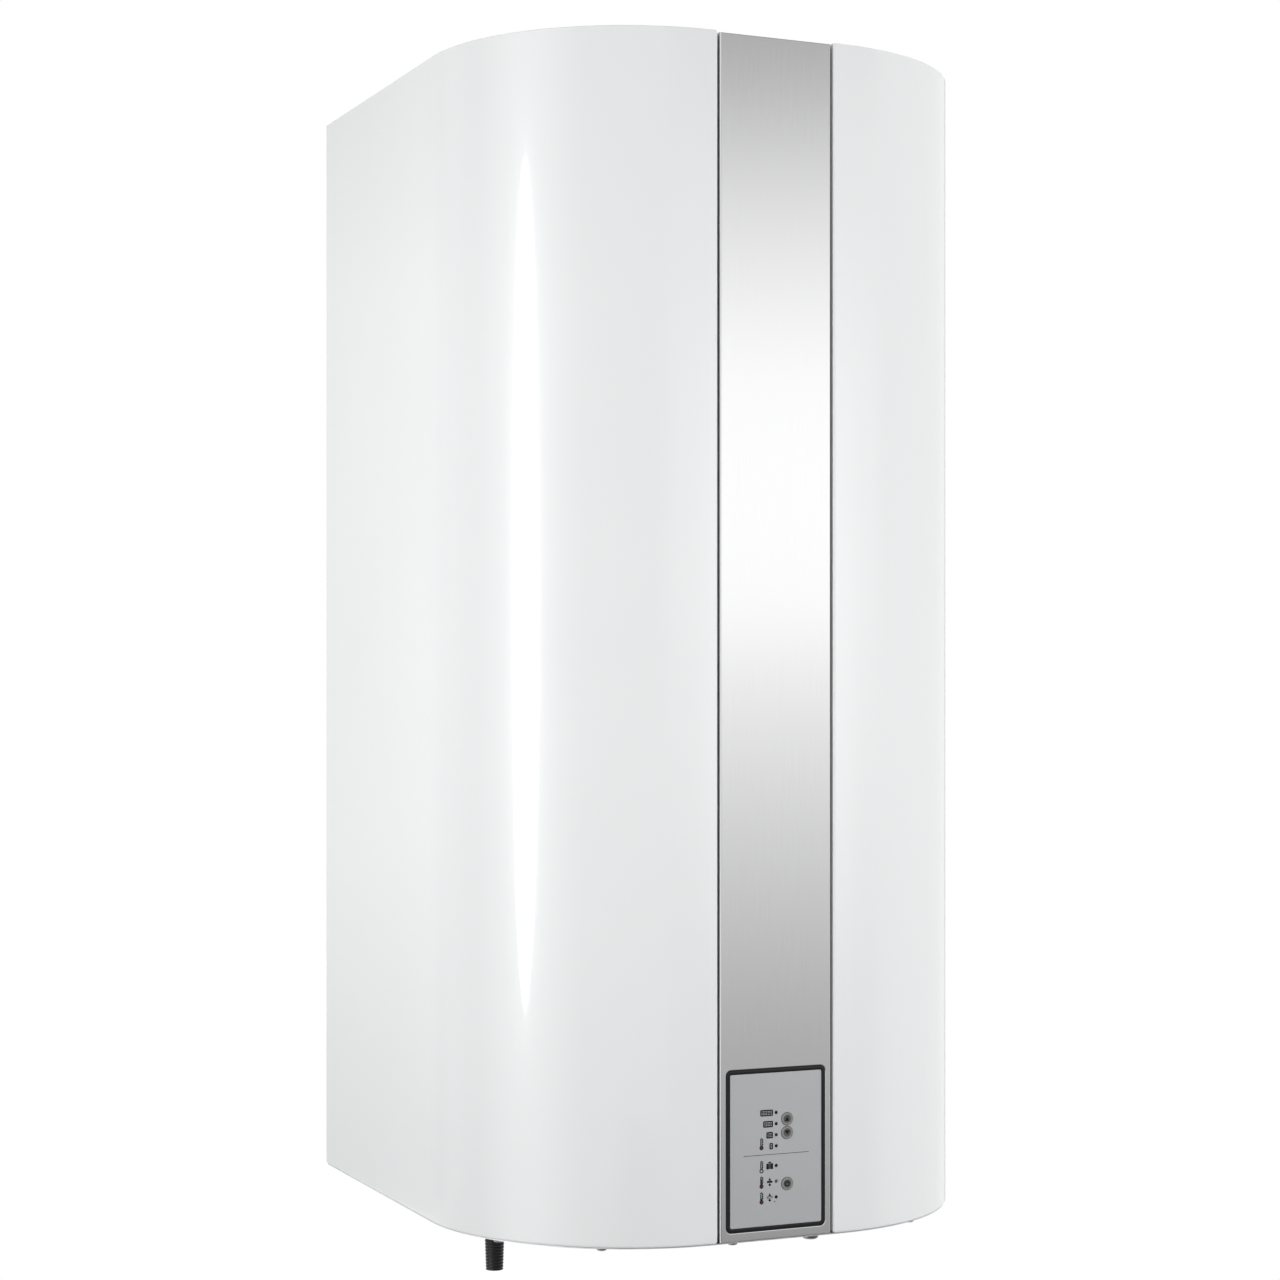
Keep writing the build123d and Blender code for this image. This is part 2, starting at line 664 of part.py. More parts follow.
def key_switches():
    """Push switches on the board behind the keys."""
    bodies = []
    for height in KEY_HEIGHTS.values():
        half = SWITCH_W / 2
        body = block(KEY_X - half, KEY_X + half, SWITCH_Y, BOARD_Y, height - half, height + half)
        depth = PLUNGER_IN + KEY_TRAVEL + PLUNGER_PLAY
        bodies.append(body - rod_y(KEY_X, height, SWITCH_Y, SWITCH_Y + depth, PLUNGER_R + PLUNGER_PLAY))
    return group(bodies)


def key_button(height):
    """A round key: domed cap, collar that stops behind the fascia, and stem whose tip enters the switch."""
    cap_front = STRIP_Y - KEY_PROUD
    collar_y = STRIP_Y + FASCIA_T + KEY_REST_GAP
    cap = rod_y(KEY_X, height, cap_front, collar_y, KEY_R)
    cap = fillet(cap.edges().filter_by(GeomType.CIRCLE).sort_by(Axis.Y)[0], KEY_DOME)
    cap += rod_y(KEY_X, height, collar_y, collar_y + KEY_COLLAR_T, KEY_COLLAR_R)
    cap += rod_y(KEY_X, height, collar_y + KEY_COLLAR_T, SWITCH_Y - KEY_TRAVEL - KEY_REST_GAP, KEY_STEM_R)
    return cap + rod_y(KEY_X, height, collar_y, SWITCH_Y + PLUNGER_IN, PLUNGER_R)


def indicator_lenses():
    """Light pipes from the board to the fascia."""
    return group([rod_y(LAMP_X, height, STRIP_Y, BOARD_Y, LAMP_R) for height in LAMP_HEIGHTS])


def board_screws():
    """Corner screws of the control board."""
    screw = pan_screw(BOARD_SCREW_HEAD_R, BOARD_SCREW_HEAD_H, BOARD_SCREW_R, BOARD_SCREW_LENGTH)
    return group([Pos(x, BOARD_Y, z) * Rot(-90, 0, 0) * screw for x, z in board_screw_places()])


def housing_screws():
    """Screws through the housing's lugs into the channel."""
    screw = pan_screw(SCREW_HEAD_R - SCREW_PLAY, SCREW_HEAD_H, SCREW_R, LUG_T + 3 * SHEET)
    seat_y = WEB_BACK_Y + LUG_T
    return group([Pos(x, seat_y, z) * Rot(90, 0, 0) * screw for x, z in housing_screw_places()])


def bottom_screws():
    """Screws that hold the bottom cover to the shells' feet and to the strip's tab."""
    screw = pan_screw(SCREW_HEAD_R, SCREW_HEAD_H, SCREW_R, SCREW_LENGTH)
    places = [(side * x, y) for side in (-1, 1) for x, y in side_screw_places()]
    places.append((STRIP_PIN_X, STRIP_SCREW_Y))
    return group([Pos(x, y, COVER_FOOT) * screw for x, y in places])


def strip_screw():
    """The larger screw under the strip's foot."""
    screw = pan_screw(STRIP_SCREW_HEAD_R, STRIP_SCREW_HEAD_H, SCREW_R, SCREW_LENGTH)
    return Pos(STRIP_SCREW_X, STRIP_SCREW_Y, COVER_FOOT) * screw


def back_screws():
    """Low-head screws through the shells' rear returns into the back panel."""
    screw = pan_screw(BACK_SCREW_HEAD_R, BACK_SCREW_HEAD_H, SCREW_R, 2 * SHEET)
    x = HALF_W - BACK_SCREW_INSET
    places = [(side * x, z) for side in (-1, 1) for z in back_screw_heights()]
    return group([Pos(x, BACK_Y, z) * Rot(90, 0, 0) * screw for x, z in places])


def tank_solid(grow=0.0):
    """The tank's outer form, a cylinder with two dished heads, grown outwards by grow."""
    slope = math.asin((TANK_R - KNUCKLE_R) / (CROWN_R - KNUCKLE_R))
    dish = CROWN_R - (CROWN_R - KNUCKLE_R) * math.cos(slope)
    crown = CROWN_R + grow
    knuckle = KNUCKLE_R + grow
    ends = []
    for pole, up in ((TANK_FOOT, 1), (TANK_TOP, -1)):
        crown_z = pole + up * CROWN_R
        knuckle_z = pole + up * dish

        def on_crown(turn):
            return (crown * math.sin(turn), crown_z - up * crown * math.cos(turn))

        def on_knuckle(turn):
            return (TANK_R - KNUCKLE_R + knuckle * math.sin(turn), knuckle_z - up * knuckle * math.cos(turn))

        dished = ThreePointArc(on_crown(0), on_crown(slope / 2), on_crown(slope))
        middle = (slope + math.pi / 2) / 2
        rounded = ThreePointArc(on_crown(slope), on_knuckle(middle), on_knuckle(math.pi / 2))
        ends.append((dished, rounded))
    (foot, foot_corner), (head, head_corner) = ends
    wall = Line(foot_corner @ 1, head_corner @ 1)
    axis = Line(foot @ 0, head @ 0)
    half = make_face(Curve() + [foot, foot_corner, wall, head_corner, head, axis])
    return Pos(0, TANK_Y, 0) * revolve(Plane.XZ * half, Axis.Z)


def tank_body():
    """Welded steel tank, open for the neck and the two pipes."""
    tank = tank_solid() - tank_solid(-TANK_WALL)
    tank -= rod_z(0, TANK_Y, 0, TANK_FOOT + KNUCKLE_R, NECK_R + HOLE_PLAY)
    for side in (-1, 1):
        tank -= rod_z(side * PIPE_X, PIPE_Y, 0, TANK_FOOT + 2 * KNUCKLE_R, PIPE_R + HOLE_PLAY)
    return tank


def foam_insulation():
    """Foam between the tank and the casing, from the bulkhead up to the lid."""
    shoulder = LID_Z - COVER_RIM - FOAM_GAP
    foam = Pos(0, 0, BULKHEAD_TOP) * extrude(inside_face(FOAM_GAP), shoulder - BULKHEAD_TOP)
    foam += Pos(0, 0, shoulder) * extrude(inside_face(FIT + SHEET + FOAM_GAP), LID_Z - shoulder)
    foam -= tank_solid(FOAM_GAP)
    foam -= rod_z(0, TANK_Y, BULKHEAD_TOP, TANK_FOOT + KNUCKLE_R, NECK_R + FOAM_GAP)
    foam -= rod_z(EARTH_X, TANK_Y + EARTH_Y, BULKHEAD_TOP, BULKHEAD_TOP + EARTH_NUT_T + FIT, EARTH_FLATS)
    for side in (-1, 1):
        foam -= rod_z(side * PIPE_X, PIPE_Y, BULKHEAD_TOP, TANK_FOOT + 2 * KNUCKLE_R, PIPE_R + FOAM_GAP)
        x = side * TANK_LUG_X
        half = TANK_LUG_W / 2 + FOAM_GAP
        low = RAIL_Z - TANK_LUG_H / 2 - FOAM_GAP
        high = RAIL_Z + TANK_LUG_H / 2 + FOAM_GAP
        foam -= block(x - half, x + half, TANK_Y, PAN_FRONT_Y, low, high)
    foam -= lid_field(-FOAM_GAP, LID_Z - LID_PRESS - FOAM_GAP, LID_Z)
    for groove in swages(SHEET + FOAM_GAP, SWAGE_PRESS + SHEET + FOAM_GAP):
        foam -= groove
    return foam


def flange_bolt_places():
    """Plan places of the element flange's bolts."""
    step = 2 * math.pi / FLANGE_BOLTS
    turns = [step * (count + 0.5) for count in range(FLANGE_BOLTS)]
    return [(FLANGE_BOLT_CIRCLE * math.cos(t), TANK_Y + FLANGE_BOLT_CIRCLE * math.sin(t)) for t in turns]


def tank_neck():
    """Welded neck under the tank with its bolting ring."""
    inner = NECK_R - NECK_WALL
    neck_top = TANK_FOOT + NECK_REACH
    neck = turned([
        (inner, NECK_FOOT),
        (NECK_RING_R, NECK_FOOT),
        (NECK_RING_R, NECK_FOOT + NECK_RING_T),
        (NECK_R, NECK_FOOT + NECK_RING_T),
        (NECK_R, neck_top),
        (inner, neck_top),
    ])
    neck = Pos(0, TANK_Y, 0) * neck
    for x, y in flange_bolt_places():
        neck -= rod_z(x, y, NECK_FOOT, NECK_FOOT + NECK_RING_T, FLANGE_BOLT_R + HOLE_PLAY)
    return neck


def flange_gasket():
    """Flat rubber ring between neck and flange."""
    face = Pos(0, TANK_Y) * (Circle(NECK_RING_R) - Circle(NECK_R - NECK_WALL))
    for x, y in flange_bolt_places():
        face -= Pos(x, y) * Circle(FLANGE_BOLT_R + BOLT_PLAY)
    return Pos(0, 0, FLANGE_TOP) * extrude(face, GASKET_T)


def element_places():
    """Plan places of the heating elements' legs."""
    return [(side * ELEMENT_HALF, TANK_Y + row) for row in ELEMENT_ROWS for side in (-1, 1)]


def pocket_places():
    """Plan places of the two sensor pockets."""
    return [(POCKET_X, TANK_Y - POCKET_Y), (POCKET_X, TANK_Y + POCKET_Y)]


def element_flange():
    """Round plate that closes the neck and carries the elements, anode and pockets."""
    face = Pos(0, TANK_Y) * Circle(NECK_RING_R)
    for x, y in flange_bolt_places():
        face -= Pos(x, y) * Circle(FLANGE_BOLT_R + BOLT_PLAY)
    for x, y in element_places():
        face -= Pos(x, y) * Circle(ELEMENT_R + HOLE_PLAY)
    for x, y in pocket_places():
        face -= Pos(x, y) * Circle(POCKET_R + HOLE_PLAY)
    face -= Pos(ANODE_X, TANK_Y) * Circle(ANODE_STUD_R + HOLE_PLAY)
    return Pos(0, 0, FLANGE_FOOT) * extrude(face, FLANGE_T)


def flange_bolts():
    """Bolts that hold the flange to the neck's ring."""
    length = FLANGE_T + GASKET_T + NECK_RING_T
    bolt = hex_bolt(FLANGE_BOLT_FLATS, FLANGE_BOLT_HEAD_H, FLANGE_BOLT_R, length)
    return group([Pos(x, y, FLANGE_FOOT) * bolt for x, y in flange_bolt_places()])


def heating_elements():
    """Three sheathed hairpin elements."""
    foot = TERMINAL_TOP
    bend = FLANGE_TOP + ELEMENT_LENGTH - ELEMENT_HALF
    pins = []
    for row in ELEMENT_ROWS:
        y = TANK_Y + row
        legs = Cylinder(ELEMENT_R, bend - foot)
        pin = Pos(-ELEMENT_HALF, y, (foot + bend) / 2) * legs
        pin += Pos(ELEMENT_HALF, y, (foot + bend) / 2) * legs
        ring = Pos(0, y, bend) * Rot(90, 0, 0) * Torus(ELEMENT_HALF, ELEMENT_R)
        reach = ELEMENT_HALF + 2 * ELEMENT_R
        pin += ring & block(-reach, reach, y - reach, y + reach, bend, bend + reach)
        pins.append(pin)
    return group(pins)


def element_terminals():
    """Threaded pins and nuts at the elements' lower ends."""
    pins = []
    for x, y in element_places():
        pin = rod_z(x, y, TERMINAL_FOOT, TERMINAL_TOP, TERMINAL_R)
        nut = extrude(hexagon(TERMINAL_NUT_FLATS), TERMINAL_NUT_T)
        pins.append(pin + Pos(x, y, TERMINAL_TOP - TERMINAL_NUT_T) * nut)
    return group(pins)


def anode_rod():
    """Magnesium rod with the stud that passes through the flange."""
    stud_foot = FLANGE_FOOT - ANODE_NUT_T
    rod = rod_z(ANODE_X, TANK_Y, FLANGE_TOP, FLANGE_TOP + ANODE_LENGTH, ANODE_R)
    rod = fillet(rod.edges().filter_by(GeomType.CIRCLE).sort_by(Axis.Z)[-1], ANODE_R / 2)
    return rod + rod_z(ANODE_X, TANK_Y, stud_foot, FLANGE_TOP, ANODE_STUD_R)


def anode_nut():
    """Nut on the anode's stud."""
    nut = hex_nut(ANODE_NUT_FLATS, ANODE_NUT_T, ANODE_STUD_R + HOLE_PLAY)
    return Pos(ANODE_X, TANK_Y, FLANGE_FOOT - ANODE_NUT_T) * nut


def sensor_pockets():
    """Closed tubes that take the sensor and the cut-out's bulb."""
    foot = FLANGE_FOOT - POCKET_TAIL
    top = FLANGE_TOP + POCKET_LENGTH
    tubes = []
    for x, y in pocket_places():
        tube = rod_z(x, y, foot, top, POCKET_R)
        tubes.append(tube - rod_z(x, y, foot, top - POCKET_WALL, POCKET_R - POCKET_WALL))
    return group(tubes)


def sensing_bulbs():
    """The control's sensor and the cut-out's bulb, pushed up to the ends of their pockets."""
    top = FLANGE_TOP + POCKET_LENGTH - POCKET_WALL - PROBE_STOP
    return group([rod_z(x, y, top - PROBE_LENGTH, top, PROBE_R) for x, y in pocket_places()])


def water_pipe(side, top):
    """A tube from inside the tank down to its nipple."""
    foot = -PIPE_END
    tube = rod_z(side * PIPE_X, PIPE_Y, foot, top, PIPE_R)
    return tube - rod_z(side * PIPE_X, PIPE_Y, foot, top, PIPE_R - PIPE_WALL)


def pipe_nipple(side):
    """Brass end: socket on the tube, hexagon, and the threaded spigot for the plumbing."""
    hex_top = NIPPLE_SPIGOT_L + NIPPLE_HEX_H
    seat = NIPPLE_FOOT - PIPE_END
    socket_top = seat + PIPE_END / 2
    body = Pos(0, 0, NIPPLE_SPIGOT_L) * extrude(hexagon(NIPPLE_FLATS), NIPPLE_HEX_H)
    body += rod_z(0, 0, 0, NIPPLE_SPIGOT_L, NIPPLE_SPIGOT_R)
    body += rod_z(0, 0, hex_top, socket_top, NIPPLE_SOCKET_R)
    body -= rod_z(0, 0, 0, socket_top, NIPPLE_BORE_R)
    body -= rod_z(0, 0, seat, socket_top, PIPE_R + HOLE_PLAY)
    return Pos(side * PIPE_X, PIPE_Y, -NIPPLE_FOOT) * body


def cold_diffuser():
    """Ribbed cap on the cold inlet that spreads the water along the tank's foot."""
    foot = TANK_FOOT + COLD_RISE
    top = foot + DIFFUSER_H
    hub_r = PIPE_R + HOLE_PLAY + DIFFUSER_T
    hub_foot = foot - DIFFUSER_LAP
    cap = rod_z(0, 0, top - DIFFUSER_T, top, DIFFUSER_R)
    cap += rod_z(0, 0, hub_foot, foot, hub_r)
    for count in range(DIFFUSER_RIBS):
        rib = block(PIPE_R - PIPE_WALL, hub_r, -DIFFUSER_T / 2, DIFFUSER_T / 2, foot - DIFFUSER_T / 2, top)
        cap += Rot(0, 0, 360 * count / DIFFUSER_RIBS) * rib
    cap -= rod_z(0, 0, hub_foot, foot, PIPE_R + HOLE_PLAY)
    return Pos(PIPE_X, PIPE_Y, 0) * cap


def pipe_grommet(side):
    """Grooved rubber ring between a pipe and the bottom cover."""
    bore = PIPE_R + GROMMET_FIT
    neck = GROMMET_HOLE_R - GROMMET_FIT
    ring = turned([
        (bore, COVER_FOOT - GROMMET_LIP),
        (GROMMET_R, COVER_FOOT - GROMMET_LIP),
        (GROMMET_R, COVER_FOOT),
        (neck, COVER_FOOT),
        (neck, 0),
        (GROMMET_R, 0),
        (GROMMET_R, GROMMET_LIP),
        (bore, GROMMET_LIP),
    ])
    return Pos(side * PIPE_X, PIPE_Y, 0) * ring


def marker_ring(side):
    """Coloured plastic ring under the grommet that tells hot from cold."""
    top = COVER_FOOT - GROMMET_LIP
    ring = rod_z(side * PIPE_X, PIPE_Y, top - RING_T, top, RING_R)
    return ring - rod_z(side * PIPE_X, PIPE_Y, top - RING_T, top, PIPE_R + RING_GAP)


def cable_gland():
    """Gland body through the bottom cover: thread, hexagon and domed cap, bored for the supply cord."""
    hex_foot = COVER_FOOT - GLAND_HEX_H
    dome_foot = hex_foot - GLAND_DOME_H
    gland = rod_z(0, 0, COVER_FOOT, GLAND_LOCKNUT_RISE, GLAND_THREAD_R)
    gland += Pos(0, 0, hex_foot) * extrude(hexagon(GLAND_FLATS), GLAND_HEX_H)
    dome = rod_z(0, 0, dome_foot, hex_foot, GLAND_DOME_R)
    gland += fillet(dome.edges().filter_by(GeomType.CIRCLE).sort_by(Axis.Z)[0], GLAND_DOME_R - SLEEVE_TOP_R)
    gland -= rod_z(0, 0, dome_foot, GLAND_LOCKNUT_RISE, GLAND_BORE_R)
    gland -= rod_z(0, 0, dome_foot, dome_foot + SLEEVE_LAP, SLEEVE_TOP_R - SLEEVE_STEP + SLEEVE_FIT)
    return Pos(GLAND_X, GLAND_Y, 0) * gland


def gland_locknut():
    """Nut that clamps the gland above the cover."""
    nut = hex_nut(GLAND_LOCKNUT_FLATS, GLAND_LOCKNUT_T, GLAND_THREAD_R + HOLE_PLAY)
    return Pos(GLAND_X, GLAND_Y, 0) * nut


def gland_sleeve():
    """Tapered ribbed bend relief below the gland, open for the cord."""
    top = COVER_FOOT - GLAND_HEX_H - GLAND_DOME_H
    pitch = (top + SLEEVE_END) / SLEEVE_RIBS
    seat_r = SLEEVE_TOP_R - SLEEVE_STEP
    outline = [(GLAND_BORE_R, top + SLEEVE_LAP), (seat_r, top + SLEEVE_LAP), (seat_r, top)]
    for rib in range(SLEEVE_RIBS):
        radius = SLEEVE_TOP_R + (SLEEVE_END_R - SLEEVE_TOP_R) * rib / (SLEEVE_RIBS - 1)
        start = top - rib * pitch
        outline.append((radius, start))
        outline.append((radius, start - RIB_LAND * pitch))
        if rib < SLEEVE_RIBS - 1:
            outline.append((radius - SLEEVE_RIB_DEPTH, start - RIB_GROOVE * pitch))
    outline.append((SLEEVE_END_R - SLEEVE_RIB_DEPTH, -SLEEVE_END))
    outline.append((GLAND_BORE_R, -SLEEVE_END))
    return Pos(GLAND_X, GLAND_Y, 0) * turned(outline)


def terminal_block():
    """Screw terminals for the supply, hung under the bulkhead."""
    x0 = BLOCK_X - BLOCK_W / 2
    y = TANK_Y + BLOCK_Y
    foot = BLOCK_FOOT
    body = block(x0, x0 + BLOCK_W, y - BLOCK_D / 2, y + BLOCK_D / 2, foot, BULKHEAD_Z)
    pitch = BLOCK_W / BLOCK_POLES
    for pole in range(BLOCK_POLES):
        x = x0 + (pole + 0.5) * pitch
        body -= rod_z(x, y - BLOCK_D / 4, foot, foot + POLE_DEPTH, POLE_R)
        body -= rod_z(x, y + BLOCK_D / 4, foot, foot + POLE_DEPTH, POLE_R)
    half = BLOCK_SLOT_W / 2
    for wall in range(1, BLOCK_POLES):
        x = x0 + wall * pitch
        body -= block(x - half, x + half, y - BLOCK_D / 2, y + BLOCK_D / 2, foot, foot + BLOCK_SLOT_H)
    return body


def relay_box():
    """Open-bottomed box for the power relays."""
    face = Pos(RELAY_X, TANK_Y + RELAY_Y) * RectangleRounded(RELAY_W, RELAY_D, RELAY_R)
    inner = Pos(RELAY_X, TANK_Y + RELAY_Y) * RectangleRounded(
        RELAY_W - 2 * RELAY_WALL, RELAY_D - 2 * RELAY_WALL, RELAY_R - RELAY_WALL)
    box = Pos(0, 0, RELAY_FOOT) * extrude(face, RELAY_H)
    return box - Pos(0, 0, RELAY_FOOT) * extrude(inner, RELAY_H - RELAY_WALL)


def relay_lid():
    """Lid under the relay box."""
    face = Pos(RELAY_X, TANK_Y + RELAY_Y) * RectangleRounded(RELAY_W, RELAY_D, RELAY_R)
    return Pos(0, 0, RELAY_FOOT - LID_T) * extrude(face, LID_T)


def thermal_cutout():
    """Safety cut-out with the bore of its reset button."""
    x = CUTOUT_X
    y = TANK_Y + CUTOUT_Y
    foot = CUTOUT_FOOT
    body = block(x - CUTOUT_W / 2, x + CUTOUT_W / 2, y - CUTOUT_D / 2, y + CUTOUT_D / 2, foot, BULKHEAD_Z)
    body = fillet(body.edges().filter_by(Axis.Z), RELAY_R)
    room = RESET_IN + RESET_TRAVEL + RESET_PLAY
    body -= rod_z(x, y, foot, foot + room, RESET_R + RESET_PLAY)
    collar = foot + RESET_IN - RESET_COLLAR_T
    return body - rod_z(x, y, collar - RESET_PLAY, foot + room, RESET_COLLAR_R + RESET_PLAY)


def reset_button():
    """Red push button that resets the cut-out."""
    x = CUTOUT_X
    y = TANK_Y + CUTOUT_Y
    foot = CUTOUT_FOOT
    button = rod_z(x, y, foot - RESET_OUT, foot + RESET_IN, RESET_R)
    button += rod_z(x, y, foot + RESET_IN - RESET_COLLAR_T, foot + RESET_IN, RESET_COLLAR_R)
    return fillet(button.edges().filter_by(GeomType.CIRCLE).sort_by(Axis.Z)[0], RESET_R / 3)


def earth_stud():
    """Earth bolt that points down through the bulkhead."""
    bolt = Rot(180, 0, 0) * hex_bolt(EARTH_FLATS, EARTH_NUT_T, EARTH_R, EARTH_LENGTH)
    return Pos(EARTH_X, TANK_Y + EARTH_Y, BULKHEAD_TOP) * bolt


def lead(radius, bend, points):
    """A wire of round section along straight runs joined by arcs."""
    path = FilletPolyline(*points, radius=bend)
    return sweep(Plane(origin=path @ 0, z_dir=path % 0) * Circle(radius), path=path)


def element_leads():
    """Wires from the relay box to the elements' right-hand pins."""
    wires = []
    for count, row in enumerate(ELEMENT_ROWS):
        pin = (ELEMENT_HALF, TANK_Y + row)
        relay = (RELAY_X - RELAY_W / 4, TANK_Y + RELAY_Y + (count - 1) * LEAD_PITCH)
        points = [
            (*pin, TERMINAL_FOOT),
            (*pin, ELEMENT_LEAD_Z),
            (*relay, ELEMENT_LEAD_Z),
            (*relay, RELAY_FOOT - LID_T),
        ]
        wires.append(lead(LEAD_R, LEAD_BEND, points))
    return group(wires)


def supply_leads():
    """Wires from the terminal block under the flange to the safety cut-out."""
    pitch = BLOCK_W / BLOCK_POLES
    wires = []
    for count in (0, 1):
        pole = (BLOCK_X + (count + 0.5) * pitch, TANK_Y + BLOCK_Y + (count - 0.5) * BLOCK_D / 2)
        cutout = (CUTOUT_X - CUTOUT_W / 3, TANK_Y + CUTOUT_Y + (count - 0.5) * LEAD_PITCH)
        level = SUPPLY_LEAD_Z - count * LEAD_PITCH
        points = [(*pole, BLOCK_FOOT + POLE_DEPTH), (*pole, level), (*cutout, level), (*cutout, CUTOUT_FOOT)]
        wires.append(lead(LEAD_R, LEAD_BEND, points))
    return group(wires)


def control_cable():
    """Cable from the control housing round the wiring room to the relay box."""
    relay = (RELAY_X + RELAY_W / 4, TANK_Y + RELAY_Y)
    turn_y = HOUSING_BACK_Y + CABLE_RUN
    points = [
        (CABLE_HOLE_X, HOUSING_BACK_Y - HOUSING_WALL, CABLE_HOLE_Z),
        (CABLE_HOLE_X, turn_y, CABLE_HOLE_Z),
        (relay[0], relay[1] - 2 * CABLE_RUN, CABLE_HOLE_Z),
        (*relay, CABLE_HOLE_Z),
        (*relay, RELAY_FOOT - LID_T),
    ]
    return lead(CABLE_R, CABLE_BEND, points)


def hanger_bolt_heights():
    """Heights of the bolts that hold the hanger to the tank's lugs."""
    return [RAIL_Z - HANGER_BOLT_PITCH / 2, RAIL_Z + HANGER_BOLT_PITCH / 2]


def folded_plate(points, radii, thickness, side, half_width):
    """A plate folded along a side-view path, as wide as two half widths, with rounded ends."""
    section = make_face(FilletPolyline(*points, radius=radii).offset_2d(thickness, side=side))
    plate = Pos(-half_width, 0, 0) * extrude(Plane.YZ * section, 2 * half_width)
    box = plate.bounding_box()
    middle = (box.min.Z + box.max.Z) / 2
    outline = Pos(0, middle) * RectangleRounded(2 * half_width, box.size.Z, RAIL_CORNER)
    return plate & upright(outline, box.min.Y, box.size.Y)


def wall_rail():
    """Rail screwed to the wall, with a shelf and an upturned lip that the hanger hooks over."""
    top = RAIL_Z + RAIL_H / 2
    lip_y = -RAIL_T - RAIL_SHELF
    path = [(0, RAIL_Z - RAIL_H / 2), (0, top), (lip_y, top), (lip_y, top + RAIL_LIP)]
    rail = folded_plate(path, [PLATE_BEND + RAIL_T, PLATE_BEND], RAIL_T, Side.LEFT, RAIL_HALF)
    for x in (-RAIL_HOLE_X, RAIL_HOLE_X):
        for z in (RAIL_Z - RAIL_HOLE_Z, RAIL_Z + RAIL_HOLE_Z):
            rail -= rod_y(x, z, -RAIL_T, 0, RAIL_HOLE_R)
    return rail


def hanger_bracket():
    """Folded plate on the back panel whose lip hooks behind the rail's lip."""
    top = RAIL_Z + RAIL_H / 2 + RAIL_LIP + HANGER_FIT
    lip_y = -RAIL_T - (RAIL_SHELF + HANGER_T) / 2
    face_y = PAN_REAR_Y + HANGER_T
    path = [
        (PAN_REAR_Y, top - HANGER_H),
        (PAN_REAR_Y, top + HANGER_T),
        (lip_y + HANGER_T, top + HANGER_T),
        (lip_y + HANGER_T, top - HANGER_LIP),
    ]
    bends = [PLATE_BEND + HANGER_T, PLATE_BEND + HANGER_T]
    plate = folded_plate(path, bends, HANGER_T, Side.RIGHT, HANGER_HALF)
    for side in (-1, 1):
        for z in hanger_bolt_heights():
            plate -= rod_y(side * TANK_LUG_X, z, PAN_REAR_Y, face_y, HANGER_BOLT_R + BOLT_PLAY)
    return plate


def tank_lugs():
    """Brackets welded to the tank that carry the hanger through the back panel."""
    low = RAIL_Z - TANK_LUG_H / 2
    high = RAIL_Z + TANK_LUG_H / 2
    half = TANK_LUG_W / 2
    lug = block(TANK_LUG_X - half, TANK_LUG_X + half, PAN_FRONT_Y - TANK_LUG_T, PAN_FRONT_Y, low, high)
    for edge in (TANK_LUG_X - half, TANK_LUG_X + half - TANK_LUG_T):
        lug += block(edge, edge + TANK_LUG_T, TANK_Y, PAN_FRONT_Y, low, high)
    lug -= tank_solid(HOLE_PLAY)
    for z in hanger_bolt_heights():
        lug -= rod_y(TANK_LUG_X, z, PAN_FRONT_Y - TANK_LUG_T, PAN_FRONT_Y, HANGER_BOLT_R + HOLE_PLAY)
    return group(both_sides(lug))


def hanger_bolts():
    """Bolts through hanger, back panel and tank lug."""
    bolt = hex_bolt(HANGER_BOLT_FLATS, HANGER_BOLT_HEAD_H, HANGER_BOLT_R, HANGER_T + SHEET + TANK_LUG_T)
    places = [(side * TANK_LUG_X, z) for side in (-1, 1) for z in hanger_bolt_heights()]
    return group([Pos(x, PAN_REAR_Y + HANGER_T, z) * Rot(90, 0, 0) * bolt for x, z in places])


def wall_spacers():
    """Rubber buffers that keep the heater's lower back off the wall."""
    depth = -PAN_REAR_Y
    sink = depth - SPACER_SINK
    spacer = turned([
        (SPACER_SCREW_R + HOLE_PLAY, 0),
        (SPACER_R, 0),
        (SPACER_END_R, depth),
        (SPACER_SCREW_HEAD_R + FIT, depth),
        (SPACER_SCREW_HEAD_R + FIT, sink),
        (SPACER_SCREW_R + HOLE_PLAY, sink),
    ])
    return group([Pos(x, PAN_REAR_Y, SPACER_Z) * Rot(-90, 0, 0) * spacer for x in (-SPACER_X, SPACER_X)])


def spacer_screws():
    """Screws that hold the buffers to the back panel."""
    seat_y = -SPACER_SINK
    length = seat_y - PAN_FRONT_Y
    screw = pan_screw(SPACER_SCREW_HEAD_R, SPACER_SCREW_HEAD_H, SPACER_SCREW_R, length + 2 * SHEET)
    return group([Pos(x, seat_y, SPACER_Z) * Rot(90, 0, 0) * screw for x in (-SPACER_X, SPACER_X)])


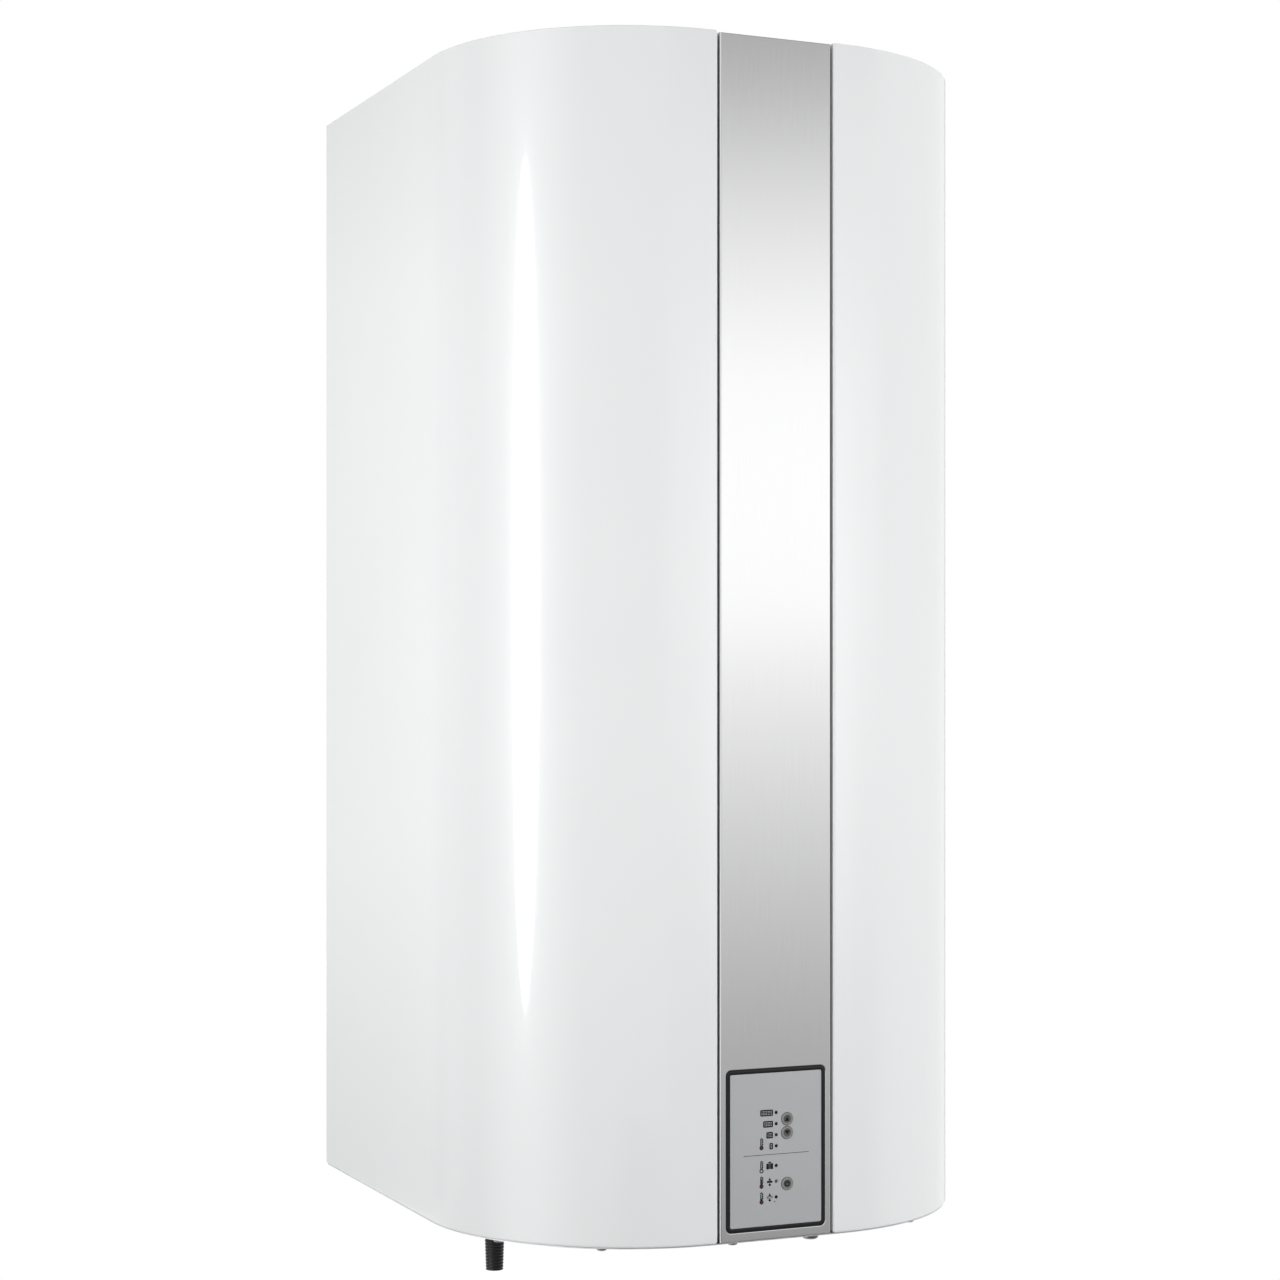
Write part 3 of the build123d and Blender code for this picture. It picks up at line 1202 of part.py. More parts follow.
right = side_shell()
pieces = {
    "left_shell": mirror(right, Plane.YZ),
    "right_shell": right,
    "top_cover": top_cover(),
    "bottom_cover": bottom_cover(),
    "back_panel": back_panel(),
    "front_channel": front_channel(),
    "bulkhead_plate": bulkhead_plate(),
    "front_strip": front_strip(),
    "panel_gasket": panel_gasket(),
    "control_fascia": control_fascia(),
    "control_housing": control_housing(),
    "control_board": control_board(),
    "key_switches": key_switches(),
    "indicator_lenses": indicator_lenses(),
    "board_screws": board_screws(),
    "housing_screws": housing_screws(),
    "bottom_screws": bottom_screws(),
    "strip_screw": strip_screw(),
    "back_screws": back_screws(),
    "tank_body": tank_body(),
    "foam_insulation": foam_insulation(),
    "tank_neck": tank_neck(),
    "flange_gasket": flange_gasket(),
    "element_flange": element_flange(),
    "flange_bolts": flange_bolts(),
    "heating_elements": heating_elements(),
    "element_terminals": element_terminals(),
    "anode_rod": anode_rod(),
    "anode_nut": anode_nut(),
    "sensor_pockets": sensor_pockets(),
    "sensing_bulbs": sensing_bulbs(),
    "cold_pipe": water_pipe(1, TANK_FOOT + COLD_RISE),
    "hot_pipe": water_pipe(-1, TANK_TOP - TANK_WALL - HOT_DROP),
    "cold_nipple": pipe_nipple(1),
    "hot_nipple": pipe_nipple(-1),
    "cold_diffuser": cold_diffuser(),
    "pipe_grommets": group([pipe_grommet(-1), pipe_grommet(1)]),
    "cold_ring": marker_ring(1),
    "hot_ring": marker_ring(-1),
    "cable_gland": cable_gland(),
    "gland_locknut": gland_locknut(),
    "gland_sleeve": gland_sleeve(),
    "terminal_block": terminal_block(),
    "relay_box": relay_box(),
    "relay_lid": relay_lid(),
    "thermal_cutout": thermal_cutout(),
    "reset_button": reset_button(),
    "earth_stud": earth_stud(),
    "element_leads": element_leads(),
    "supply_leads": supply_leads(),
    "control_cable": control_cable(),
    "wall_rail": wall_rail(),
    "hanger_bracket": hanger_bracket(),
    "hanger_bolts": hanger_bolts(),
    "tank_lugs": tank_lugs(),
    "wall_spacers": wall_spacers(),
    "spacer_screws": spacer_screws(),
}
for key, height in KEY_HEIGHTS.items():
    pieces[key + "_button"] = key_button(height)

os.makedirs("parts", exist_ok=True)
for name, piece in pieces.items():
    export_step(Pos(0, 0, -RAIL_Z) * piece, f"parts/{name}.step")
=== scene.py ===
"""Looks of a wall-hung electric storage water heater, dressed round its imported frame."""

from __future__ import annotations

import logging
import math
from collections.abc import Sequence
from dataclasses import dataclass
from enum import Enum

import bmesh
import bpy
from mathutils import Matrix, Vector

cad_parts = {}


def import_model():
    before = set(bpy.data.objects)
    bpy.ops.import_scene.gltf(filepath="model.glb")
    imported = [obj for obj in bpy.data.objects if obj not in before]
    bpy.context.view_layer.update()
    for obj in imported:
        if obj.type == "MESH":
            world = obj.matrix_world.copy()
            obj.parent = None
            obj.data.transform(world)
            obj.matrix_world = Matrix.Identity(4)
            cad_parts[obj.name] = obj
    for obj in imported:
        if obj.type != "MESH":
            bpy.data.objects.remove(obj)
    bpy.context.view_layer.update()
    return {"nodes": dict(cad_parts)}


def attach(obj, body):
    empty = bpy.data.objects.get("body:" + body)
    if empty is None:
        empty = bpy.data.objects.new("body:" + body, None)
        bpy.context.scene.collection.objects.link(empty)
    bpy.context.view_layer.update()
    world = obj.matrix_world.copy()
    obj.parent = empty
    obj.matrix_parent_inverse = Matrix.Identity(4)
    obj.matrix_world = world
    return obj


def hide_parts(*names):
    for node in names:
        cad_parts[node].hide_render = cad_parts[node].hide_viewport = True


LOG = logging.getLogger("water_heater")

MM = 0.001
RAIL_Z = 905.0
WELD = 1e-6
TIP_R = 1e-4
ROUND = 48
SMOOTH_ANGLE = math.radians(35.0)
BURR_ANGLE = math.radians(60.0)
SWING = (0.3, 0.7)
NONE_TO_ALL = (0.0, 1.0)
WHITE = (1.0, 1.0, 1.0, 1.0)

Point = tuple[float, float, float]
Flat = tuple[float, float]
Colour = tuple[float, float, float]
Box = tuple[Flat, Flat]
Ring = list[Point]
Mesh = bpy.types.Mesh
Piece = bpy.types.Object
Material = bpy.types.Material
Node = bpy.types.Node
Socket = bpy.types.NodeSocket


class Body(Enum):
    """The moving bodies that pieces ride on."""

    HEATER = "heater"
    UP = "up_key"
    DOWN = "down_key"
    MODE = "mode_key"


class Axis(Enum):
    """Which way a turned piece points."""

    UP = "up"
    FRONT = "front"


class Symbol(Enum):
    """What is printed on a key."""

    UP = "up"
    DOWN = "down"
    POWER = "power"


class Glow(Enum):
    """The outline of a lamp."""

    OBLONG = "RECTANGLE"
    OVAL = "ELLIPSE"


class Texture(Enum):
    """How a finish breaks up its surface."""

    PEEL = "sprayed and baked paint"
    BRUSHED = "steel brushed along its height"
    SPANGLE = "zinc crystals"
    MOULDED = "moulding grain"
    FLAKE = "metal flake"
    CELLS = "foam cells"
    TRACKS = "copper tracks under lacquer"
    TURNED = "turning marks"


def to_frame(point: Point) -> Vector:
    """The frame's place, in metres, of a point in millimetres above the casing's lower edge."""
    return Vector((point[0] * MM, point[1] * MM, (point[2] - RAIL_Z) * MM))


def grey(level: float) -> Colour:
    """A neutral colour of one level."""
    return (level, level, level)


class Graph:
    """The node tree of one material or world, with short calls for what the finishes share."""

    def __init__(self, owner: Material | bpy.types.World) -> None:
        """Opens the tree, in which one plain shader feeds the output.

        Args:
            owner: The material or world.
        """
        owner.use_nodes = True
        self.tree = owner.node_tree
        self.output = self.tree.get_output_node("ALL").inputs["Surface"]
        self.surface = self.output.links[0].from_node

    def join(self, source: Socket, target: Socket) -> None:
        """Links two sockets."""
        self.tree.links.new(source, target)

    def add(self, kind: str, *sources: Socket, **settings: object) -> Node:
        """Adds a node.

        Args:
            kind: Its type without the ShaderNode prefix.
            sources: Sockets that feed its first inputs, in order.
            settings: Values by the name of an input, or else of an option.

        Returns:
            The new node.
        """
        node = self.tree.nodes.new("ShaderNode" + kind)
        for source, target in zip(sources, node.inputs):
            self.join(source, target)
        for name, value in settings.items():
            if name in node.inputs:
                node.inputs[name].default_value = value
            else:
                setattr(node, name, value)
        return node

    def texture(self, kind: str, pitch: Point, **settings: object) -> Node:
        """Adds a texture that is laid along the piece's own axes.

        Args:
            kind: Its type without the ShaderNodeTex prefix.
            pitch: Size of its marks along x, y and z, in millimetres.
            settings: More values, as for add.

        Returns:
            The new node.
        """
        places = self.add("TexCoord").outputs["Object"]
        marks = self.add("Mapping", places, Scale=tuple(1 / (step * MM) for step in pitch))
        return self.add("Tex" + kind, marks.outputs[0], Scale=1.0, **settings)

    def noise(self, pitch: Point, detail: float = 2.0) -> Socket:
        """Soft noise of some pitch in millimetres, with some finer layers."""
        return self.texture("Noise", pitch, Detail=detail).outputs[0]

    def cells(self, pitch: float, output: str) -> Socket:
        """Crystals or bubbles: Distance gives a cell's depth, Color a tone of its own."""
        return self.texture("Voronoi", (pitch,) * 3).outputs[output]

    def bands(self, pitch: float, direction: str) -> Socket:
        """Slightly uneven bands that follow each other along an axis."""
        return self.texture("Wave", (pitch,) * 3, bands_direction=direction, Distortion=1.5).outputs[1]

    def ramp(self, source: Socket, stops: Sequence[tuple[float, Colour]]) -> Socket:
        """Colours along a value.

        Args:
            source: The value from 0 to 1.
            stops: Places with their colours, two or more.

        Returns:
            The colour socket.
        """
        node = self.add("ValToRGB", source)
        marks = node.color_ramp.elements
        while len(marks) < len(stops):
            marks.new(1.0)
        for mark, (place, colour) in zip(marks, stops):
            mark.position = place
            mark.color = (*colour, 1.0)
        return node.outputs[0]

    def stretch(self, source: Socket, swing: Flat, limits: Flat) -> Socket:
        """Maps a value's swing on two limits.

        Args:
            source: The value.
            swing: Its lowest and highest level; it is held between them.
            limits: What these become.

        Returns:
            The value socket.
        """
        node = self.add("MapRange", source)
        for socket, level in zip(node.inputs[1:5], (*swing, *limits)):
            socket.default_value = level
        return node.outputs[0]

    def bump(self, height: Socket, depth: float, under: Socket | None = None) -> Socket:
        """Relief from a height.

        Args:
            height: The value that rises and falls.
            depth: The relief in millimetres.
            under: A relief that this one lies on.

        Returns:
            The normal socket.
        """
        node = self.add("Bump", Distance=depth * MM)
        self.join(height, node.inputs["Height"])
        if under is not None:
            self.join(under, node.inputs["Normal"])
        return node.outputs[0]

    def seen(self) -> Socket:
        """One for rays from the camera, mirrors and glass, none for the rest.

        Returns:
            The value socket.
        """
        rays = self.add("LightPath").outputs
        total = rays["Is Camera Ray"]
        for ray in ("Is Glossy Ray", "Is Transmission Ray"):
            total = self.add("Math", total, rays[ray], operation="MAXIMUM").outputs[0]
        return total

    def fade(self, share: Socket, near: Node, far: Node) -> None:
        """Puts out a mix of two shaders, with a share of the far one."""
        mix = self.add("MixShader", share, near.outputs[0], far.outputs[0])
        self.join(mix.outputs[0], self.output)


@dataclass(frozen=True)
class Finish:
    """A surface finish and the marks that it shows close up.

    Colours are linear; pitch, relief, patch and wave sizes are in millimetres.
    """

    name: str
    colour: Colour
    shade: Colour
    rough: Flat
    texture: Texture = Texture.MOULDED
    metal: float = 0.0
    pitch: float = 0.5
    relief: float = 0.006
    patch: float = 10.0
    wave: float = 0.0
    coat: float = 0.0
    shine: float = 0.5

    WAVE_SIZE = (420.0, 420.0, 520.0)
    BRUSH_LENGTH = 90
    GRAIN_IN_SPANGLE = 6
    COAT_ROUGH = 0.04

    @classmethod
    def ink(cls, name: str, colour: Colour, shade: Colour) -> Finish:
        """A flat printing ink."""
        return cls(name, colour, shade, (0.4, 0.5), pitch=0.2, relief=0.001, patch=2.0, shine=0.2)

    def make(self) -> Material:
        """Builds the finish as a node material.

        Returns:
            The material.
        """
        material = bpy.data.materials.new(self.name)
        graph = Graph(material)
        tone, height = self.marks(graph)
        surface = graph.surface.inputs
        graph.join(graph.ramp(tone, tuple(zip(SWING, (self.shade, self.colour)))), surface["Base Color"])
        graph.join(graph.stretch(tone, SWING, self.rough), surface["Roughness"])
        relief = None
        if self.wave:
            relief = graph.bump(graph.noise(self.WAVE_SIZE, 0.0), self.wave)
        graph.join(graph.bump(height, self.relief, relief), surface["Normal"])
        surface["Metallic"].default_value = self.metal
        surface["Specular IOR Level"].default_value = self.shine
        surface["Coat Weight"].default_value = self.coat
        surface["Coat Roughness"].default_value = self.COAT_ROUGH
        return material

    def marks(self, graph: Graph) -> tuple[Socket, Socket]:
        """Lays the texture's own marks.

        Args:
            graph: The node tree to add them to.

        Returns:
            A tone for colour and gloss, and a height for the relief.
        """
        if self.texture is Texture.BRUSHED:
            lines = graph.noise((self.pitch, self.pitch, self.BRUSH_LENGTH * self.pitch), 4.0)
            return lines, lines
        if self.texture is Texture.SPANGLE:
            return graph.cells(self.pitch, "Color"), graph.noise((self.pitch / self.GRAIN_IN_SPANGLE,) * 3)
        if self.texture is Texture.FLAKE:
            return graph.cells(self.pitch, "Color"), graph.cells(self.pitch, "Distance")
        if self.texture is Texture.CELLS:
            return graph.cells(self.pitch, "Distance"), graph.cells(self.pitch, "Distance")
        if self.texture is Texture.TRACKS:
            return graph.bands(self.pitch, "X"), graph.bands(self.pitch, "DIAGONAL")
        patches = graph.noise((self.patch,) * 3, 3.0)
        if self.texture is Texture.TURNED:
            return patches, graph.bands(self.pitch, "Z")
        return patches, graph.noise((self.pitch,) * 3, 1.0)


class Palette:
    """Every finish of the heater; each is made once, when first asked for."""

    FINISHES = (
        Finish("white_paint", (0.835, 0.845, 0.845), (0.815, 0.828, 0.830), (0.20, 0.26), Texture.PEEL,
               pitch=2.6, relief=0.003, patch=340.0, wave=0.4, coat=0.7),
        Finish("tank_enamel", (0.08, 0.10, 0.14), (0.05, 0.065, 0.10), (0.22, 0.34), Texture.PEEL,
               pitch=2.0, relief=0.01, patch=60.0),
        Finish("stainless", (0.625, 0.625, 0.630), (0.600, 0.600, 0.606), (0.13, 0.17), Texture.BRUSHED,
               metal=1.0, pitch=0.3, relief=0.0004),
        Finish("galvanised", (0.600, 0.610, 0.620), (0.545, 0.556, 0.568), (0.36, 0.44), Texture.SPANGLE,
               metal=0.85, pitch=7.0, relief=0.004),
        Finish("silver_panel", (0.450, 0.458, 0.468), (0.415, 0.423, 0.433), (0.36, 0.46), Texture.FLAKE,
               metal=0.25, pitch=0.22, relief=0.002),
        Finish("foam", (0.78, 0.66, 0.38), (0.64, 0.52, 0.28), (0.8, 0.95), Texture.CELLS,
               pitch=2.2, relief=0.4),
        Finish("board_green", (0.03, 0.20, 0.085), (0.02, 0.13, 0.05), (0.28, 0.4), Texture.TRACKS,
               pitch=2.4, relief=0.03),
        Finish("screw_nickel", (0.25, 0.25, 0.255), (0.17, 0.17, 0.175), (0.10, 0.18), Texture.TURNED,
               metal=1.0, relief=0.001, patch=5.0),
        Finish("sheath", (0.40, 0.37, 0.34), (0.28, 0.27, 0.26), (0.32, 0.46), Texture.TURNED,
               metal=1.0, relief=0.004, patch=14.0),
        Finish("brass", (0.72, 0.53, 0.25), (0.58, 0.41, 0.17), (0.22, 0.36), Texture.TURNED,
               metal=1.0, pitch=0.35, relief=0.003, patch=9.0),
        Finish("zinc_plate", (0.46, 0.47, 0.48), (0.34, 0.35, 0.36), (0.22, 0.34),
               metal=1.0, pitch=0.6, relief=0.004, patch=9.0),
        Finish("magnesium", grey(0.54), grey(0.42), (0.5, 0.66),
               metal=0.9, pitch=1.2, relief=0.02, patch=8.0),
        Finish("black_rubber", grey(0.011), grey(0.008), (0.30, 0.40),
               pitch=0.4, relief=0.004, patch=12.0, shine=0.25),
        Finish("key_grey", (0.250, 0.250, 0.240), (0.226, 0.226, 0.216), (0.34, 0.42),
               pitch=0.25, relief=0.003, patch=3.0, shine=0.3),
        Finish("key_disc", (0.092, 0.092, 0.088), (0.079, 0.079, 0.075), (0.34, 0.45),
               pitch=0.2, relief=0.003, patch=2.0, shine=0.3),
        Finish("lamp_dark", grey(0.006), grey(0.004), (0.10, 0.16), relief=0.001, patch=2.0, shine=0.3),
        Finish("lamp_clear", (0.085, 0.085, 0.09), (0.065, 0.065, 0.07), (0.12, 0.2),
               relief=0.001, patch=2.0, shine=0.4),
        Finish("black_plastic", grey(0.030), grey(0.022), (0.38, 0.5), relief=0.008, patch=20.0),
        Finish("white_plastic", (0.80, 0.80, 0.78), (0.75, 0.75, 0.72), (0.34, 0.45), pitch=0.6, patch=25.0),
        Finish("blue_plastic", (0.03, 0.12, 0.55), (0.02, 0.09, 0.44), (0.3, 0.42)),
        Finish("red_plastic", (0.55, 0.03, 0.03), (0.44, 0.02, 0.02), (0.3, 0.42)),
        Finish("wire_skin", (0.05, 0.05, 0.06), (0.035, 0.035, 0.042), (0.36, 0.48), pitch=0.7, patch=12.0),
        Finish.ink("ink_dark", grey(0.007), grey(0.005)),
        Finish.ink("ink_grey", grey(0.060), grey(0.050)),
        Finish.ink("ink_red", (0.135, 0.022, 0.048), (0.115, 0.019, 0.041)),
    )

    def __init__(self) -> None:
        """Starts with nothing made."""
        self.finishes = {finish.name: finish for finish in self.FINISHES}
        self.made: dict[str, Material] = {}

    def material(self, name: str) -> Material:
        """A finish's material, made on first use.

        Args:
            name: The finish's name.

        Returns:
            The material.
        """
        if name not in self.made:
            self.made[name] = self.finishes[name].make()
        return self.made[name]


def arc(centre: Flat, radius: float, start: float, end: float, steps: int) -> list[Flat]:
    """The points of an arc between two angles in degrees, both ends included."""
    turns = [math.radians(start + (end - start) * step / steps) for step in range(steps + 1)]
    return [(centre[0] + radius * math.cos(turn), centre[1] + radius * math.sin(turn)) for turn in turns]


def circle(centre: Flat, radius: float, steps: int = ROUND) -> list[Flat]:
    """A closed circle's points."""
    return arc(centre, radius, 0.0, 360.0, steps)[:-1]


def rounded_box(low: Flat, high: Flat, radius: float, steps: int = 8, grow: float = 0.0) -> list[Flat]:
    """A rectangle with rounded corners.

    Args:
        low: Its lower left corner.
        high: Its upper right corner.
        radius: The corners' radius.
        steps: Steps in each corner.
        grow: How far its sides are moved out.

    Returns:
        The outline's points, which are as many for any size.
    """
    left, foot = low[0] - grow + radius, low[1] - grow + radius
    right, top = high[0] + grow - radius, high[1] + grow - radius
    outline = []
    for corner, centre in enumerate(((right, top), (left, top), (left, foot), (right, foot))):
        outline += arc(centre, radius, 90.0 * corner, 90.0 * (corner + 1), steps)
    return outline


def moved(box: Box, centre: Flat) -> Box:
    """A box that was drawn about nought, moved to a centre."""
    return tuple((x + centre[0], z + centre[1]) for x, z in box)


def level_ring(centre: Flat, height: float, radii: Sequence[float]) -> Ring:
    """A level ring, given its radius at equal steps round its axis."""
    turns = [2 * math.pi * step / len(radii) for step in range(len(radii))]
    return [(centre[0] + radius * math.cos(turn), centre[1] + radius * math.sin(turn), height)
            for turn, radius in zip(turns, radii)]


def turned(profile: Sequence[Flat], centre: Flat, axis: Axis, base: float = 0.0, steps: int = ROUND
           ) -> list[Ring]:
    """Turns a profile about an axis.

    Args:
        profile: Radius against length, from one end to the other.
        centre: Where the axis stands: x and y if it points up, x and z if it points to the front.
        axis: Which way it points.
        base: Where the profile's lengths count from.
        steps: Points round the axis.

    Returns:
        A ring for each point of the profile.
    """
    rings = []
    for radius, length in profile:
        flat = circle(centre, max(radius, TIP_R), steps)
        if axis is Axis.UP:
            rings.append([(x, y, base + length) for x, y in flat])
        else:
            rings.append([(x, base + length, z) for x, z in flat])
    return rings


def folded_path(route: Sequence[tuple[Flat, float]], step: float, ease: float) -> list[tuple[Flat, Flat]]:
    """Follows straight runs joined by arcs.

    Args:
        route: The path's corners, each with its bend radius.
        step: Degrees between points on a bend.
        ease: How far from a bend its straight neighbours get one more point, in millimetres.

    Returns:
        Points with their left-hand normals.
    """
    path: list[tuple[Flat, Flat]] = []
    for index, (corner, radius) in enumerate(route):
        here = Vector(corner)
        before = here - Vector(route[index - 1][0]) if index else None
        after = Vector(route[index + 1][0]) - here if index + 1 < len(route) else None
        if before is None or after is None or radius == 0.0:
            run = (after if before is None else before).normalized()
            path.append((corner, (-run.y, run.x)))
            continue
        before.normalize()
        after.normalize()
        turn = before.angle_signed(after)
        reach = radius * math.tan(abs(turn) / 2)
        side = -math.copysign(1.0, turn)
        normal = Vector((-before.y, before.x))
        centre = here - before * reach + normal * side * radius
        path.append((tuple(here - before * (reach + ease)), tuple(normal)))
        count = max(3, round(math.degrees(abs(turn)) / step))
        for place in range(count + 1):
            angle = -turn * place / count
            spun = Vector((normal.x * math.cos(angle) - normal.y * math.sin(angle),
                           normal.x * math.sin(angle) + normal.y * math.cos(angle)))
            path.append((tuple(centre - spun * side * radius), tuple(spun)))
        path.append((tuple(here + after * (reach + ease)), path[-1][1]))
    return path


def weld(mesh: Mesh) -> Mesh:
    """Joins points that coincide, drops faces without area and turns the rest outwards.

    Args:
        mesh: The mesh, which is changed.

    Returns:
        The same mesh.
    """
    work = bmesh.new()
    work.from_mesh(mesh)
    bmesh.ops.remove_doubles(work, verts=work.verts, dist=WELD)
    bmesh.ops.dissolve_degenerate(work, edges=work.edges, dist=WELD)
    bmesh.ops.recalc_face_normals(work, faces=work.faces)
    work.to_mesh(mesh)
    work.free()
    return mesh


class Shape:
    """Points and faces of one piece before it becomes a mesh.

    They are in millimetres above the casing's lower edge. Each call returns the shape itself.
    """

    def __init__(self) -> None:
        """Starts empty."""
        self.points: list[Point] = []
        self.faces: list[tuple[int, ...]] = []

    def loft(self, rings: Sequence[Ring], loop: bool = False) -> Shape:
        """Skins closed rings that have the same number of points.

        Args:
            rings: The rings in order.
            loop: True joins the last ring to the first; otherwise both ends are closed.

        Returns:
            The shape.
        """
        start = len(self.points)
        count = len(rings[0])
        self.points += [point for ring in rings for point in ring]
        for ring in range(len(rings) if loop else len(rings) - 1):
            near = start + ring * count
            far = start + (ring + 1) % len(rings) * count
            for i in range(count):
                j = (i + 1) % count
                self.faces.append((near + i, near + j, far + j, far + i))
        if not loop:
            last = start + (len(rings) - 1) * count
            self.faces.append(tuple(range(start + count - 1, start - 1, -1)))
            self.faces.append(tuple(range(last, last + count)))
        return self

    def slab(self, outline: Sequence[Flat], front: float, back: float) -> Shape:
        """Makes a front-view outline solid between two depths."""
        return self.loft([[(x, y, z) for x, z in outline] for y in (front, back)])

    def block(self, plan: Sequence[Flat], low: float, high: float) -> Shape:
        """Makes a plan outline solid between two heights."""
        return self.loft([[(x, y, z) for x, y in plan] for z in (low, high)])

    def hoop(self, outer: Sequence[Flat], inner: Sequence[Flat], front: float, back: float) -> Shape:
        """Makes the frame between two front-view outlines of as many points solid, between two depths."""
        order = ((outer, front), (outer, back), (inner, back), (inner, front))
        return self.loft([[(x, y, z) for x, z in outline] for outline, y in order], loop=True)

    def mesh(self, name: str) -> Mesh:
        """The shape as a welded mesh, in the frame's metres.

        Args:
            name: The mesh's name.

        Returns:
            The mesh.
        """
        mesh = bpy.data.meshes.new(name)
        mesh.from_pydata([to_frame(point) for point in self.points], [], self.faces)
        return weld(mesh)


def link_object(name: str, data: bpy.types.ID) -> Piece:
    """Makes an object and puts it in the scene.

    Args:
        name: The object's name.
        data: What it shows.

    Returns:
        The object.
    """
    piece = bpy.data.objects.new(name, data)
    bpy.context.scene.collection.objects.link(piece)
    return piece


def settled(piece: Piece) -> Mesh:
    """A new mesh of an object with its modifiers or curve settings applied.

    Args:
        piece: The object.

    Returns:
        The mesh.
    """
    bpy.context.view_layer.update()
    graph = bpy.context.evaluated_depsgraph_get()
    return bpy.data.meshes.new_from_object(piece.evaluated_get(graph), depsgraph=graph)


def cut(mesh: Mesh, *tools: Mesh) -> Mesh:
    """Takes tools away from a mesh.

    Args:
        mesh: The mesh to cut.
        tools: What is cut out of it.

    Returns:
        The cut mesh.
    """
    body = link_object("cut_body", mesh)
    helpers = [link_object(f"cut_tool_{count}", tool) for count, tool in enumerate(tools)]
    for helper in helpers:
        step = body.modifiers.new(helper.name, "BOOLEAN")
        step.operation = "DIFFERENCE"
        step.solver = "EXACT"
        step.object = helper
    result = weld(settled(body))
    for used in (body, *helpers):
        bpy.data.objects.remove(used)
    return result


def pierced_plate(outlines: Sequence[Sequence[Flat]], front: float, back: float, edge: float) -> Mesh:
    """A flat plate with holes and softened edges.

    Args:
        outlines: Front-view outline, drawn in by edge, and then the holes, drawn out by edge.
        front: Depth of the front face.
        back: Depth of the rear face.
        edge: The edges' radius.

    Returns:
        The mesh, in the frame's metres.
    """
    curve = bpy.data.curves.new("plate", "CURVE")
    curve.dimensions = "2D"
    curve.fill_mode = "BOTH"
    curve.extrude = (back - front) / 2 - edge
    curve.bevel_depth = edge
    curve.bevel_resolution = 2
    for outline in outlines:
        spline = curve.splines.new("POLY")
        spline.points.add(len(outline) - 1)
        for point, (x, z) in zip(spline.points, outline):
            point.co = (x, z, 0.0, 1.0)
        spline.use_cyclic_u = True
    plate = link_object("plate", curve)
    mesh = settled(plate)
    bpy.data.objects.remove(plate)
    middle = (front + back) / 2
    for vertex in mesh.vertices:
        x, z, depth = vertex.co
        vertex.co = to_frame((x, middle - depth, z))
    return weld(mesh)


@dataclass
class Assembly:
    """A group of pieces that are built together; the palette gives their finishes."""

    palette: Palette

    def place(self, mesh: Mesh, name: str, finish: str, body: Body = Body.HEATER,
              stands_for: Sequence[str] = (), slot: str | None = None) -> Piece:
        """Puts a mesh in the scene as a finished piece of the heater.

        Args:
            mesh: The mesh, in the frame's metres.
            name: The piece's name.
            finish: The finish that it gets.
            body: The body that it rides on.
            stands_for: The CAD nodes that it replaces.
            slot: The record's material slot, if it isn't named like the finish; it is not used.

        Returns:
            The piece.
        """
        mesh.materials.clear()
        mesh.materials.append(self.palette.material(finish))
        for polygon in mesh.polygons:
            polygon.use_smooth = True
        mesh.set_sharp_from_angle(angle=SMOOTH_ANGLE)
        piece = link_object(name, mesh)
        even = piece.modifiers.new("even_normals", "WEIGHTED_NORMAL")
        even.keep_sharp = True
        even.weight = 100
        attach(piece, body.value)
        if stands_for:
            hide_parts(*stands_for)
        LOG.info("%s: %d faces, %s", name, len(mesh.polygons), finish)
        return piece

    @staticmethod
    def deburr(piece: Piece, radius: float) -> None:
        """Rounds a piece's sharp edges, ahead of its other modifiers.

        Args:
            piece: The piece.
            radius: The rounding in millimetres.
        """
        edges = piece.modifiers.new("deburred_edges", "BEVEL")
        edges.width = radius * MM
        edges.segments = 2
        edges.limit_method = "ANGLE"
        edges.angle_limit = BURR_ANGLE
        edges.harden_normals = True
        piece.modifiers.move(len(piece.modifiers) - 1, 0)


